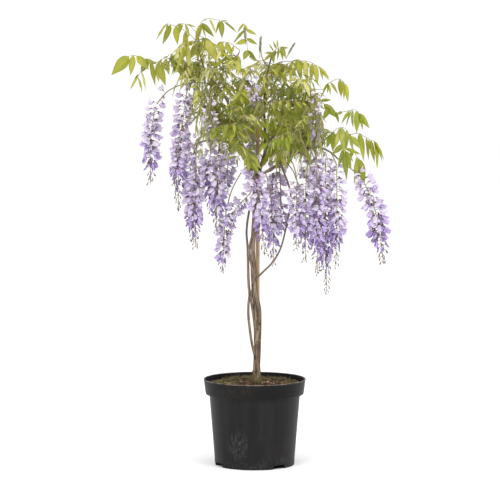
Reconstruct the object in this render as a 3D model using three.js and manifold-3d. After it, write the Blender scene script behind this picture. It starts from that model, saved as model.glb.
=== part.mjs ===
// A wisteria grown as a small weeping tree: twisted stems on a cane in a round nursery pot, long hanging
// racemes of pea flowers, and arching shoots of feathered leaves.
// Millimetres, +Z up, the front towards -Y. The origin is the centre of the pot's base.
import * as THREE from "three";
import { mergeVertices } from "three/addons/utils/BufferGeometryUtils.js";
import Module from "manifold-3d";

const wasm = await Module();
wasm.setup();

// ---- driving dimensions -------------------------------------------------------------------------

const GAP = 0.3; // between separate pieces that touch
const SEED = 1832;

const POT = {
  sides: 28,
  height: 236,
  rimRadius: 140,
  lip: 3.2, // width of the rim's flat top
  bandHeight: 41, // the collar round the mouth
  bandFoot: 134, // the collar's radius where it ends
  shoulder: 124.5, // the wall's radius under the collar
  foot: 108.5, // the wall's radius at the floor
  wall: 2.2,
  floor: 3,
};
// Drain slots in the foot, with their headings round the pot in degrees.
const NOTCH = { headings: [38, 167, -65], width: 37, height: 10, depth: 16 };
const SOIL = { below: 14, crown: 9, lumps: 2.6 }; // under the rim, rise at the stem, height of the lumps
const STAKE = { x: 8.5, y: 17, radius: 5.5, foot: 60, top: 926, sides: 8 };

// first is the share of the flowering stretch above the first flower.
const FLORET = { width: 27, height: 24, spacing: 24, core: 3.8, first: 0.06 };
const FLOWER_TURN = (Math.PI * 4) / 7; // from one corner of a raceme's helix to the next
const BUDS_FROM = 0.68; // share of the flowering stretch where open flowers give way to buds
const PEDUNCLE = 1.7; // radius of a raceme's bare stalk
const SHOOT = { base: 2.5, tip: 1.3, sides: 3 };
const LEAF = { ribWidth: 2, ribThick: 1.5, bladeThick: 0.8, petiole: 0.32, lastPair: 0.86, root: 2.4 };
const LEAFLET = { width: 0.37, widest: 0.42, curl: 0.08 }; // shares of a leaflet's length
// How far a leaflet follows its rib and is pulled down, at the end of the rib and at its sides.
const LIE = {
  end: { forward: 0.75, down: 0.85 },
  side: { forward: 0.32, down: 1.05 },
  inward: 0.55,
  steep: 0.6,
};
const LEAF_TURN = { next: 137.5, retry: 47 }; // degrees round a shoot

// ---- where everything grows ---------------------------------------------------------------------

// Woody stems, each a list of [x, y, z, radius] along its middle.
const STEMS = {
  trunk: [
    [5, 0, 150, 9.5], [5, 0, 222, 11.3], [5, 0, 250, 10.6], [5, 0, 300, 8.6], [5, 0, 350, 8],
    [6, 0, 386, 9.8], [5, 0, 403, 8.4], [4, 0, 440, 9], [0, 0, 480, 8.2], [-4, 0, 550, 7.2],
    [-5, 0, 600, 7], [-2, 1, 650, 7], [2, 1, 700, 7.2], [5, 0, 760, 8], [8, 0, 805, 8.6],
  ],
  leftTwist: [
    [3, -3, 290, 4], [-7, -9, 330, 3.5], [-13, -9, 370, 3.6], [-17, -7, 410, 3.6], [-17, -4, 440, 3.4],
    [-14, -3, 468, 3.6], [-17, -4, 505, 3.8], [-19, 2, 590, 3], [-22, 4, 640, 2.8],
    [-16, 6, 690, 3], [0, 3, 755, 3.4],
  ],
  rightTwist: [
    [8, 1, 235, 3.4], [13, 3, 290, 3.2], [16, 4, 408, 3], [11, 3, 448, 3], [3, 1, 492, 3.2],
  ],
  bulge: [
    [-1, -2, 388, 3], [-5, -5, 420, 3.4], [-9, -6, 446, 3.4], [-9, -6, 468, 3.6], [-2, -2, 500, 3],
  ],
  crossing: [
    [10, -4, 384, 3.4], [14, -11, 403, 3], [13, -14, 424, 3], [8, -15, 445, 3], [0, -14, 476, 3],
    [-2, -13, 514, 3], [-10, -12, 552, 3], [-16, -9, 584, 3], [-12, -4, 608, 3],
    [-5, 0, 630, 3.4],
  ],
  vine: [
    [-1, -3, 504, 3], [20, -9, 527, 2.6], [45, -14, 552, 2.4], [65, -18, 583, 2.3], [78, -20, 620, 2.3],
    [95, -18, 700, 2.3], [98, -16, 738, 2.3], [92, -17, 768, 2.4], [80, -22, 800, 2.6],
    [70, -26, 828, 3],
  ],
  leader: [
    [6, 0, 790, 5], [22, 2, 835, 4.6], [30, 12, 870, 4.2], [27, 24, 920, 3.7], [26, 22, 980, 3.2],
    [30, 12, 1040, 2.8], [38, 0, 1085, 2.4], [48, -6, 1125, 2.1],
  ],
  left: [
    [4, 0, 785, 4.3], [-20, -6, 826, 4.2], [-44, -12, 868, 4], [-51, -15, 902, 3.7], [-57, -18, 942, 3.4],
    [-70, -20, 985, 3.1], [-86, -19, 1014, 2.9], [-104, -16, 1040, 2.7], [-126, -12, 1064, 3],
    [-143, -8, 1100, 2.3], [-152, -6, 1146, 2.1],
  ],
  leftFront: [
    [-46, -13, 878, 2.9], [-72, -52, 884, 2.8], [-104, -82, 893, 2.5], [-138, -98, 890, 2.3],
    [-164, -104, 878, 2.1],
  ],
  leftBack: [
    [-57, -18, 942, 2.9], [-88, 30, 958, 2.7], [-125, 62, 968, 2.5], [-162, 78, 960, 2.3],
    [-190, 84, 945, 2.1],
  ],
  right: [
    [8, 0, 795, 4.3], [28, -10, 802, 4.2], [48, -19, 812, 4], [66, -26, 828, 3.6], [84, -30, 842, 3.3],
    [100, -30, 850, 3.1], [126, -26, 862, 2.8], [152, -20, 870, 2.6], [180, -14, 868, 2.4],
    [206, -8, 856, 2.2], [226, -5, 838, 2.1],
  ],
  rightFront: [
    [66, -26, 828, 2.9], [88, -70, 850, 2.7], [112, -110, 862, 2.5], [138, -142, 852, 2.1],
  ],
  rightUpper: [
    [27, 24, 920, 3.1], [60, 26, 945, 2.9], [98, 24, 968, 2.7], [135, 18, 984, 3], [170, 8, 992, 2.8],
  ],
  top: [
    [26, 22, 980, 2.8], [0, 6, 1020, 2.6], [-28, -6, 1062, 2.3], [-50, -12, 1105, 2.1],
  ],
  backLeft: [
    [5, 0, 790, 4], [-12, 12, 820, 3.7], [-35, 50, 860, 3.3], [-62, 92, 892, 2.9], [-95, 124, 905, 2.6],
    [-130, 150, 898, 2.2],
  ],
  backRight: [
    [30, 12, 870, 3.3], [45, 50, 890, 3], [75, 95, 905, 2.8], [110, 130, 900, 2.5], [140, 150, 885, 2.1],
  ],
  front: [
    [5, -2, 790, 3.5], [8, -40, 835, 3.2], [5, -85, 885, 2.8], [-5, -125, 910, 2.5], [-15, -160, 905, 2.1],
  ],
  back: [
    [26, 22, 950, 2.9], [20, 70, 985, 2.7], [10, 112, 1012, 2.4], [0, 145, 1020, 2.1],
  ],
};
const THICK_STEMS = ["trunk", "leader"]; // these take a side more than the rest

// Racemes: [stem, its point], the bare stalk's points, the flowering points down to the tip, widest radius.
const RACEMES = [
  [["left", 7],
    [[-130, -14, 1043], [-165, -12, 1044], [-200, -11, 1038], [-230, -10, 1025], [-252, -10, 1004]],
    [[-266, -10, 982], [-277, -9, 935], [-283, -9, 870], [-282, -9, 770]], 29],
  [["left", 8], [[-144, 10, 1054], [-170, 15, 1046]],
    [[-184, 12, 1020], [-197, 13, 925], [-206, 13, 820], [-208, 14, 700]], 29],
  [["left", 6], [[-115, -36, 1008], [-145, -46, 985], [-168, -50, 962], [-187, -51, 935]],
    [[-201, -52, 902], [-211, -52, 850], [-216, -52, 765]], 25],
  [["leftBack", 2], [[-140, 63, 915], [-160, 63, 868], [-172, 63, 832]],
    [[-176, 63, 800], [-175, 63, 700], [-170, 62, 610]], 26],
  [["leftFront", 3], [[-148, -66, 886], [-156, -38, 872]],
    [[-159, -24, 845], [-160, -22, 720], [-160, -22, 598]], 27],
  [["leftBack", 1], [[-106, 33, 928], [-116, 34, 895]],
    [[-120, 34, 868], [-122, 34, 780], [-122, 33, 690]], 24],
  [["leftFront", 1], [[-88, -48, 884]],
    [[-98, -45, 862], [-102, -44, 760], [-104, -44, 640]], 26],
  [["backLeft", 2], [[-55, 68, 868]],
    [[-70, 78, 845], [-75, 80, 790], [-76, 80, 735]], 22],
  [["backLeft", 1], [[-30, 16, 808], [-48, 18, 780], [-63, 18, 750], [-73, 17, 715]],
    [[-79, 16, 685], [-84, 15, 620], [-88, 14, 525]], 25],
  [["front", 1], [[0, -46, 800], [-2, -45, 768]],
    [[-14, -43, 745], [-35, -40, 722], [-54, -38, 700], [-63, -38, 675], [-64, -38, 636]], 23],
  [["front", 2], [[-4, -98, 862]],
    [[-6, -99, 838], [0, -98, 790], [14, -96, 710], [28, -94, 588]], 31],
  [["right", 1], [[36, -30, 780]],
    [[42, -34, 755], [48, -33, 660], [52, -32, 552]], 26],
  [["backRight", 1], [[62, 48, 850], [69, 44, 790], [71, 42, 745]],
    [[72, 42, 720], [74, 41, 628]], 21],
  [["rightFront", 1], [[104, -70, 825], [114, -66, 780]],
    [[113, -66, 755], [113, -68, 670], [113, -68, 597]], 24],
  [["right", 7], [[152, 2, 845]],
    [[143, 1, 815], [138, -3, 690], [138, -3, 558]], 27],
  [["right", 7], [[162, -40, 856]],
    [[168, -56, 822], [168, -60, 660], [170, -60, 530]], 28],
  [["right", 8], [[190, 14, 848]],
    [[194, 32, 812], [194, 35, 650], [197, 35, 470]], 29],
  [["right", 9], [[216, -20, 836]],
    [[222, -23, 808], [223, -22, 690], [221, -22, 548]], 28],
  [["right", 10], [[246, -3, 822], [270, -2, 804]],
    [[292, -3, 782], [308, -4, 752], [321, -5, 722], [332, -6, 680], [342, -6, 620], [350, -7, 553]], 34],
  [["top", 2], [[-20, -40, 1074], [-12, -68, 1070]],
    [[-8, -84, 1050], [-3, -86, 1010], [0, -86, 972]], 17],
  [["rightUpper", 3], [[143, -12, 998], [156, -46, 1008]],
    [[166, -66, 990], [163, -69, 930], [163, -69, 860]], 19],
  [["left", 7], [[-112, -56, 1030], [-118, -92, 1012]],
    [[-119, -112, 985], [-117, -119, 925], [-116, -119, 864]], 18],
  [["backLeft", 4], [[-100, 146, 892]],
    [[-99, 152, 865], [-98, 153, 760], [-98, 153, 640]], 25],
  [["backLeft", 5], [[-154, 156, 888]],
    [[-168, 158, 862], [-172, 158, 760], [-172, 158, 652]], 23],
  [["backRight", 2], [[64, 116, 892]],
    [[60, 124, 865], [60, 125, 750], [60, 125, 628]], 25],
  [["backRight", 4], [[158, 154, 872]],
    [[168, 154, 845], [170, 152, 730], [170, 152, 606]], 25],
  [["back", 3], [[-4, 165, 1004]],
    [[-6, 172, 975], [-6, 174, 870], [-6, 174, 762]], 23],
];

// Leafy shoots: [stem, its point], the shoot's points, its own leaves as
// [share along the shoot, rib's end, rise of the arch, leaflet length, pairs],
// and how many more it carries by rule.
const SHOOTS = [
  [["left", 8], [[-156, -19, 1083], [-200, -16, 1090], [-235, -17, 1093], [-262, -18, 1100]], [
    [1, [-340, -20, 1122], 9, 54, 3],
    [0.62, [-262, -40, 1098], 24, 44, 2],
    [0.3, [-206, 40, 1108], 16, 46, 2],
  ], 0],
  [["left", 10], [[-151, -6, 1176], [-146, -5, 1204]], [
    [0.98, [-72, 10, 1214], 8, 42, 3],
    [0.45, [-238, -4, 1204], 16, 48, 3],
    [0.2, [-112, -64, 1154], 12, 56, 2],
    [0.3, [-196, -52, 1160], 12, 46, 2],
  ], 0],
  [["top", 3], [[-40, -14, 1132]], [
    [1, [-22, -40, 1172], 12, 42, 2],
    [0.5, [-96, -12, 1156], 12, 42, 2],
    [0.75, [2, -34, 1150], 10, 40, 2],
  ], 0],
  [["leader", 6], [[20, -8, 1112], [16, -10, 1150]], [
    [0.95, [18, -12, 1186], 2, 26, 2],
    [0.4, [10, 46, 1130], 10, 44, 2],
  ], 0],
  [["leader", 7], [[70, -10, 1128], [88, -12, 1142]], [
    [0.95, [106, -14, 1162], 3, 28, 2],
    [0.3, [38, -24, 1160], 8, 34, 2],
  ], 0],
  [["leader", 6], [[62, 4, 1096], [84, 8, 1102]], [
    [1, [184, 8, 1081], 16, 48, 3],
    [0.5, [108, -44, 1112], 12, 44, 2],
  ], 0],
  [["rightUpper", 4], [[186, 12, 1016], [198, -6, 1042]], [
    [1, [246, -30, 1054], 8, 46, 2],
    [0.12, [292, -8, 966], 14, 48, 3],
    [0.6, [158, 24, 1056], 10, 42, 2],
  ], 0],
  [["right", 8], [[196, -18, 896], [232, -22, 906], [262, -20, 905]], [
    [0.78, [322, -18, 900], 10, 54, 3],
    [0.35, [250, -62, 926], 14, 48, 2],
    [0.86, [284, 10, 862], 5, 60, 2],
  ], 0],
  [["left", 9], [[-158, -34, 1096], [-166, -50, 1074]], [
    [1, [-150, -74, 990], 8, 46, 3],
    [0.6, [-196, -60, 1062], 12, 46, 2],
  ], 0],
  [["front", 4], [[-26, -178, 925], [-32, -190, 950]], [], 2],
  [["front", 3], [[10, -134, 948], [24, -140, 985]], [], 2],
  [["front", 2], [[-16, -92, 918], [-36, -96, 950]], [], 2],
  [["leftFront", 4], [[-150, -134, 896], [-128, -158, 915]], [], 2],
  [["leftFront", 2], [[-90, -96, 930], [-76, -104, 965]], [], 2],
  [["leftBack", 4], [[-178, 104, 972], [-160, 122, 998]], [], 2],
  [["leftBack", 2], [[-124, 74, 1004], [-120, 84, 1040]], [], 2],
  [["left", 6], [[-80, -48, 1042], [-74, -66, 1074]], [], 2],
  [["left", 4], [[-62, -50, 958], [-60, -78, 975]], [], 2],
  [["leader", 5], [[52, 26, 1062], [72, 36, 1084]], [], 2],
  [["leader", 4], [[48, -6, 998], [62, -32, 1014]], [], 2],
  [["rightUpper", 2], [[100, -4, 1006], [102, -24, 1034]], [], 2],
  [["rightUpper", 3], [[138, 42, 1016], [142, 62, 1040]], [], 2],
  [["right", 6], [[132, -46, 900], [138, -64, 932]], [], 2],
  [["rightFront", 3], [[130, -152, 884], [118, -158, 912]], [], 2],
  [["rightFront", 2], [[102, -126, 902], [94, -138, 936]], [], 2],
  [["backLeft", 4], [[-112, 150, 940], [-122, 164, 970]], [], 2],
  [["backLeft", 3], [[-66, 104, 938], [-68, 112, 972]], [], 2],
  [["backRight", 3], [[122, 150, 936], [130, 164, 966]], [], 2],
  [["backRight", 2], [[86, 106, 948], [90, 116, 982]], [], 2],
];

// What the rule for leaves keeps to: the crown's middle and half sizes, and how low a leaflet may hang.
const CROWN = { centre: [4, 0, 970], half: [182, 240, 175], lowest: 818 };
const CLEAR = 8.5; // least distance between points of two different pieces
const BEAD = 6; // spacing of the balls that stand for a stem
const ATTEMPTS = 36; // directions that a leaf tries before it is left out

// ---- small tools --------------------------------------------------------------------------------

const UP = new THREE.Vector3(0, 0, 1);
const vector = (p) => new THREE.Vector3(p[0], p[1], p[2]);
const along = (p, direction, amount) => p.clone().addScaledVector(direction, amount);
const mix = THREE.MathUtils.lerp;

let state = SEED;
// The next number of a repeatable random sequence, from low up to high.
function draw(low, high) {
  state = (Math.imul(state, 1664525) + 1013904223) >>> 0;
  return low + ((high - low) * state) / 4294967296;
}

// Points along a smooth curve through the given ones.
function smooth(points, perSpan) {
  const curve = new THREE.CatmullRomCurve3(points, false, "catmullrom");
  return curve.getPoints(perSpan * (points.length - 1));
}

// The lengths from the first point of a path to each of its points.
function lengths(path) {
  const sums = [0];
  for (let i = 1; i < path.length; i++) sums.push(sums[i - 1] + path[i].distanceTo(path[i - 1]));
  return sums;
}

// The point of a path at a share of its length.
function pointAt(path, share) {
  const sums = lengths(path);
  const wanted = share * sums[sums.length - 1];
  let i = 1;
  while (i < path.length - 1 && sums[i] < wanted) i++;
  return path[i - 1].clone().lerp(path[i], (wanted - sums[i - 1]) / (sums[i] - sums[i - 1]));
}

// For each point of a path its direction and two vectors across it, turned as little as possible.
function frames(path) {
  let across = null;
  return path.map((p, i) => {
    const ahead = path[Math.min(i + 1, path.length - 1)];
    const tangent = ahead.clone().sub(path[Math.max(i - 1, 0)]).normalize();
    if (!across) across = Math.abs(tangent.z) > 0.9 ? new THREE.Vector3(1, 0, 0) : UP.clone();
    across = along(across, tangent, -across.dot(tangent)).normalize();
    return { p, tangent, across, beside: tangent.clone().cross(across) };
  });
}

function geometryOf(vertices, triangles) {
  const geometry = new THREE.BufferGeometry();
  const numbers = vertices.flatMap((v) => [v.x, v.y, v.z]);
  geometry.setAttribute("position", new THREE.Float32BufferAttribute(numbers, 3));
  geometry.setIndex(triangles.flat());
  return geometry;
}

// A closed geometry as a solid that booleans can work on.
function solidOf(geometry) {
  const bare = new THREE.BufferGeometry();
  bare.setAttribute("position", geometry.getAttribute("position"));
  bare.setIndex(geometry.getIndex());
  const merged = mergeVertices(bare, 1e-3);
  return new wasm.Manifold(
    new wasm.Mesh({
      numProp: 3,
      vertProperties: merged.attributes.position.array,
      triVerts: new Uint32Array(merged.index.array),
    }),
  );
}

// The largest body of a solid: what a cut leaves loose is dropped.
function largest(solid) {
  return solid.decompose().reduce((best, body) => (body.volume() > best.volume() ? body : best));
}

function meshOf(name, solid, material) {
  const made = solid.getMesh();
  const geometry = new THREE.BufferGeometry();
  geometry.setAttribute("position", new THREE.BufferAttribute(made.vertProperties, 3));
  geometry.setIndex(new THREE.BufferAttribute(made.triVerts, 1));
  const mesh = new THREE.Mesh(geometry.toNonIndexed(), material);
  mesh.geometry.computeVertexNormals();
  mesh.name = name;
  return mesh;
}

// ---- pot, soil and cane -------------------------------------------------------------------------

// Stands a shape turned about Y upright.
const upright = (geometry) => geometry.rotateX(Math.PI / 2);
const profile = (points) => points.map(([x, y]) => new THREE.Vector2(x, y));

function potSolid() {
  const { height, rimRadius, lip, bandHeight, bandFoot, shoulder, foot, wall, floor } = POT;
  const ledge = height - bandHeight;
  const outline = profile([
    [0, 0], [foot, 0], [shoulder, ledge], [bandFoot, ledge], [rimRadius - 1, height - 3], [rimRadius, height],
    [rimRadius - lip, height], [bandFoot - wall, ledge + wall], [shoulder - wall, ledge - wall],
    [foot - wall, floor], [0, floor],
  ]);
  let body = solidOf(upright(new THREE.LatheGeometry(outline, POT.sides)));
  for (const heading of NOTCH.headings) {
    const slot = new THREE.BoxGeometry(NOTCH.width, NOTCH.depth, NOTCH.height * 2);
    slot.translate(0, -foot, 0);
    slot.rotateZ(THREE.MathUtils.degToRad(heading));
    body = body.subtract(solidOf(slot));
  }
  return body;
}

// The pot's inner radius at a height under the collar.
const innerRadius = (z) => mix(POT.foot, POT.shoulder, z / (POT.height - POT.bandHeight)) - POT.wall;

function soilSolid() {
  const top = POT.height - SOIL.below;
  const ledge = POT.height - POT.bandHeight - POT.wall;
  const inside = POT.bandFoot - POT.wall - GAP * 2;
  const bottom = POT.floor + GAP;
  const fill = [[0, bottom], [innerRadius(bottom) - GAP, bottom], [innerRadius(ledge) - GAP * 1.5, ledge]];
  const surface = [1, 0.6].map((share) => [inside * share, top + SOIL.crown * (1 - share) ** 2]);
  const shoulder = [[inside, ledge + POT.wall * 2 + GAP]];
  const outline = profile([...fill, ...shoulder, ...surface, [0, top + SOIL.crown]]);
  const geometry = upright(new THREE.LatheGeometry(outline, POT.sides));
  lump(geometry, top - 1, inside * 0.9);
  const [x, y, foot] = STEMS.trunk[0];
  const thickest = STEMS.trunk[1][3];
  const above = POT.height * 2;
  const caneHole = cylinder(STAKE.x, STAKE.y, STAKE.foot, above, STAKE.radius + GAP, STAKE.sides * 2);
  const trunkHole = cylinder(x, y, foot, above, thickest + 1, STAKE.sides * 2);
  return solidOf(geometry).subtract(solidOf(caneHole)).subtract(solidOf(trunkHole));
}

// Raises and lowers what lies above a height and inside a radius, the same at each doubled seam point.
function lump(geometry, above, within) {
  const at = geometry.getAttribute("position");
  for (let i = 0; i < at.count; i++) {
    const x = at.getX(i);
    const y = at.getY(i);
    if (at.getZ(i) < above || Math.hypot(x, y) > within) continue;
    const wave = Math.sin(x * 0.11 + 1.3) * Math.cos(y * 0.13) + 0.6 * Math.sin(x * 0.047 - y * 0.061 + 2);
    at.setZ(i, at.getZ(i) + SOIL.lumps * wave);
  }
}

function cylinder(x, y, bottom, top, radius, sides) {
  const geometry = upright(new THREE.CylinderGeometry(radius, radius, top - bottom, sides));
  return geometry.translate(x, y, (bottom + top) / 2);
}

const stakeSolid = () =>
  solidOf(cylinder(STAKE.x, STAKE.y, STAKE.foot + GAP, STAKE.top, STAKE.radius, STAKE.sides));

// ---- woody stems --------------------------------------------------------------------------------

// A closed tube along a path with a radius at each point.
function tube(path, radii, sides) {
  const vertices = frames(path).flatMap(({ p, across, beside }, i) =>
    Array.from({ length: sides }, (_, k) => {
      const angle = (k / sides) * Math.PI * 2;
      return along(along(p, across, radii[i] * Math.cos(angle)), beside, radii[i] * Math.sin(angle));
    }),
  );
  const triangles = [];
  const last = (path.length - 1) * sides;
  for (let i = 0; i < last; i += sides)
    for (let k = 0; k < sides; k++) {
      const next = (k + 1) % sides;
      triangles.push([i + k, i + next, i + sides + next], [i + k, i + sides + next, i + sides + k]);
    }
  for (let k = 2; k < sides; k++) triangles.push([0, k, k - 1], [last, last + k - 1, last + k]);
  return solidOf(geometryOf(vertices, triangles));
}

// All woody stems grown together, each thicker all round by a clearance.
function woodSolid(clearance) {
  const tubes = Object.entries(STEMS).map(([name, points]) =>
    tube(points.map(vector), points.map((p) => p[3] + clearance), THICK_STEMS.includes(name) ? 6 : 5),
  );
  return tubes.reduce((joined, next) => joined.add(next));
}

const stemPoint = ([stem, index]) => vector(STEMS[stem][index]);

// ---- racemes ------------------------------------------------------------------------------------

// How far the flowers of a raceme stand out at a share of its flowering length, as a share of their
// widest: full near the top, a thin tail of buds at the end.
function spread(share) {
  if (share < 0.12) return mix(0.72, 1, share / 0.12);
  return share < 0.5 ? 1 : mix(1, 0.26, (share - 0.5) / 0.5);
}

// A raceme's axis: its path, the length up to each point, and what share of the flowering stretch lies
// above a length, which is less than 0 on the bare stalk.
function racemeAxis([root, stalk, bloom]) {
  const perSpan = 6;
  const path = smooth([stemPoint(root), ...stalk.map(vector), ...bloom.map(vector)], perSpan);
  const run = lengths(path);
  const whole = run[run.length - 1];
  const bare = run[(stalk.length + 1) * perSpan];
  return { path, run, share: (length) => (length - bare) / (whole - bare) };
}

// A raceme as one body. Its corners wind down the axis in a helix with seven of them to two turns, the first
// few in one plane for a blunt end, and a flower grows from each facet whose long edge is above.
function racemeSolid(raceme) {
  const { path, run, share } = racemeAxis(raceme);
  const whole = run[run.length - 1];
  const count = Math.round((whole / FLORET.spacing) * 3);
  const rings = frames(Array.from({ length: count + 1 }, (_, i) => pointAt(path, i / count)));
  const last = count + 3;
  const ring = (i) => Math.max(i - 3, 0);
  const shareAt = (i) => share((ring(i) / count) * whole);
  const radius = (i) => (shareAt(i) < 0 ? PEDUNCLE : mix(FLORET.core, 1.5, shareAt(i)));
  const out = (i, turn) => {
    const { across, beside } = rings[ring(i)];
    const angle = turn * FLOWER_TURN;
    return along(across.clone().multiplyScalar(Math.cos(angle)), beside, Math.sin(angle));
  };
  const corner = (i) => along(rings[ring(i)].p, out(i, i), radius(i));
  const vertices = Array.from({ length: last + 1 }, (_, i) => corner(i));
  const triangles = [[0, 3, 2], [0, 2, 1]];
  for (let i = 0; i <= last - 4; i++) {
    triangles.push([i, i + 4, i + 3]);
    const seat = [i, i + 1, i + 4];
    const { p, tangent } = rings[ring(i)];
    const place = { p, down: tangent, outward: out(i, i + 0.5) };
    if (shareAt(i) < FLORET.first || i > last - 6) triangles.push(seat);
    else addFlower(vertices, triangles, seat, place, shareAt(i), raceme[3]);
  }
  triangles.push([last - 3, last - 2, last - 1], [last - 3, last - 1, last]);
  return solidOf(geometryOf(vertices, triangles));
}

// One flower on a seat of three vertices: a flaring bell high on the raceme, a pointed bud in its tail.
function addFlower(vertices, triangles, seat, { p, down, outward }, share, reach) {
  const size = spread(share) * draw(0.9, 1.08);
  const middle = along(along(p, outward, reach * size * 0.96), down, reach * size * 0.34 + 5);
  const first = vertices.length;
  if (share > BUDS_FROM) {
    vertices.push(middle);
    triangles.push([seat[0], seat[1], first], [seat[1], seat[2], first], [seat[2], seat[0], first]);
    return;
  }
  const sideways = down.clone().cross(outward);
  const scale = (size * reach) / FLORET.width;
  const corner = (across, fall, outBy) =>
    along(along(along(middle, sideways, across * scale), down, fall * scale), outward, outBy * scale);
  const { width, height } = FLORET;
  vertices.push(corner(-width / 2, -height * 0.45, 3));
  vertices.push(corner(width / 2, -height * 0.4, 3));
  vertices.push(corner(0, height * 0.55, -4));
  for (let k = 0; k < 3; k++) {
    const next = (k + 1) % 3;
    triangles.push([seat[k], seat[next], first + next], [seat[k], first + next, first + k]);
  }
  triangles.push([first, first + 1, first + 2]);
}

// ---- leaves -------------------------------------------------------------------------------------

// The midrib and leaflets of a leaf: pairs hanging from an arching rib, and one more at its tip.
function leafForm({ base, tip, rise, length, pairs, hang }) {
  const crest = along(base.clone().lerp(tip, 0.5), UP, rise * 2);
  const rib = new THREE.QuadraticBezierCurve3(base, crest, tip);
  const run = rib.getLength();
  const station = (u) => {
    const tangent = rib.getTangent(u);
    const side = tangent.clone().cross(UP);
    if (side.length() < 0.25) side.set(tangent.z, -0.4, 0);
    return { p: rib.getPoint(u), tangent, side: side.normalize() };
  };
  const stations = [station(0)];
  const leaflets = [];
  for (let i = 0; i < pairs; i++) {
    const u = mix(LEAF.petiole, LEAF.lastPair, i / (pairs - 1));
    const step = LEAF.root / run;
    stations.push(station(u - step), station(u + step));
    const size = length * mix(0.84, 1, i / (pairs - 1));
    for (const hand of [1, -1]) leaflets.push(leaflet(station(u), hand, hang, size, stations.length - 2));
  }
  stations.push(station(1));
  leaflets.push(leaflet(stations[stations.length - 1], 0, hang, length * 1.1, stations.length - 1));
  return { stations, leaflets };
}

// One leaflet: its root's station, the two widest points and the tip.
// hand is 1 on the right of the rib, -1 on its left and 0 at its end.
function leaflet({ p, tangent, side }, hand, hang, length, root) {
  const { forward, down } = hand ? LIE.side : LIE.end;
  const fall = hang * (1 - LIE.steep * Math.abs(tangent.z)); // on a steep rib they spread more than they hang
  const direction = tangent.clone().multiplyScalar(forward);
  direction.addScaledVector(side, hand * (1 - fall * LIE.inward));
  direction.addScaledVector(UP, -fall * down).normalize();
  const width = hand ? along(tangent, direction, -tangent.dot(direction)).normalize() : side.clone();
  const middle = along(p, direction, length * LEAFLET.widest);
  const half = (length * LEAFLET.width) / 2;
  const tip = along(along(p, direction, length), UP, -length * LEAFLET.curl);
  return { hand, root, middle, tip, near: along(middle, width, -half), far: along(middle, width, half) };
}

// The sheet of a leaf as vertices with their thickness, and triangles seen from above.
function leafSheet({ stations, leaflets }) {
  const half = LEAF.ribWidth / 2;
  const vertices = stations.flatMap(({ p, side }) => [along(p, side, -half), along(p, side, half)]);
  const thickness = vertices.map(() => LEAF.ribThick);
  const triangles = [];
  for (let i = 0; i < stations.length - 1; i++) {
    const [left, right] = [i * 2, i * 2 + 1];
    triangles.push([left, right, right + 2], [left, right + 2, left + 2]);
  }
  for (const { hand, root, near, far, tip } of leaflets) {
    const first = vertices.length;
    vertices.push(near, far, tip);
    thickness.push(LEAF.bladeThick, LEAF.bladeThick, 0);
    const [a, b] = hand > 0 ? [root * 2 + 1, root * 2 + 3] : [root * 2, root * 2 + (hand ? 2 : 1)];
    const faces = [[a, first, first + 1], [a, first + 1, b], [first, first + 2, first + 1]];
    // Right leaflets wind from their near edge, left ones and the end one the other way round.
    if (hand > 0) triangles.push(...faces);
    else if (hand < 0) triangles.push(...faces.map(([i, j, k]) => [i, k, j]));
    else triangles.push([a, b, first + 1], [a, first + 1, first], [first, first + 1, first + 2]);
  }
  return { vertices, thickness, triangles };
}

// A sheet thickened to a closed slab, split into triangles alike on both faces.
function slab({ vertices, thickness, triangles }) {
  const normals = vertices.map(() => new THREE.Vector3());
  const edges = new Map();
  for (const [a, b, c] of triangles) {
    const normal = vertices[b].clone().sub(vertices[a]).cross(vertices[c].clone().sub(vertices[a]));
    for (const i of [a, b, c]) normals[i].add(normal.clone().normalize());
    for (const [i, j] of [[a, b], [b, c], [c, a]]) edges.set(i + ">" + j, [i, j]);
  }
  normals.forEach((n) => n.normalize());
  const count = vertices.length;
  const face = (half) => vertices.map((v, i) => along(v, normals[i], half * thickness[i]));
  const both = [...face(0.5), ...face(-0.5)];
  const walls = [...edges.values()].filter(([i, j]) => !edges.has(j + ">" + i));
  return geometryOf(both, [
    ...triangles,
    ...triangles.map(([a, b, c]) => [a + count, c + count, b + count]),
    ...walls.flatMap(([i, j]) => [[j, i, i + count], [j, i + count, j + count]]),
  ]);
}

// Points spread over a leaf, for keeping it clear of its neighbours.
function leafPoints({ stations, leaflets }) {
  const points = stations.slice(1).map(({ p }) => p);
  const between = (a, b) => a.clone().lerp(b, 0.5);
  for (let i = 1; i < stations.length; i++) points.push(between(stations[i].p, stations[i - 1].p));
  for (const { root, near, far, middle, tip } of leaflets) {
    points.push(near, far, middle, tip, between(middle, tip), between(middle, stations[root].p));
    points.push(between(near, tip), between(far, tip));
  }
  return points;
}

// ---- keeping clear ------------------------------------------------------------------------------

const taken = []; // balls that the pieces fill: { owner, p, r }

const takePoints = (owner, points) => points.forEach((p) => taken.push({ owner, p, r: 0 }));

// Fills a round path, which has a radius at each of its points.
function takePath(owner, path, radii) {
  for (let i = 1; i < path.length; i++) {
    const steps = Math.ceil(path[i].distanceTo(path[i - 1]) / BEAD);
    for (let k = 1; k <= steps; k++) {
      const p = path[i - 1].clone().lerp(path[i], k / steps);
      taken.push({ owner, p, r: mix(radii[i - 1], radii[i], k / steps) });
    }
  }
}

function isClear(owner, points) {
  const others = taken.filter((ball) => ball.owner !== owner);
  return points.every((p) => others.every((ball) => ball.p.distanceTo(p) > ball.r + CLEAR));
}

const insideCrown = (points) =>
  points.every((p) => {
    const [x, y, z] = [p.x, p.y, p.z].map((c, i) => (c - CROWN.centre[i]) / CROWN.half[i]);
    return x ** 4 + y ** 4 + z ** 4 < 1 && p.z > CROWN.lowest;
  });

// ---- leafy shoots -------------------------------------------------------------------------------

function shootPath([root, points]) {
  return smooth([stemPoint(root), ...points.map(vector)], points.length < 3 ? 2 : 1);
}

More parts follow.
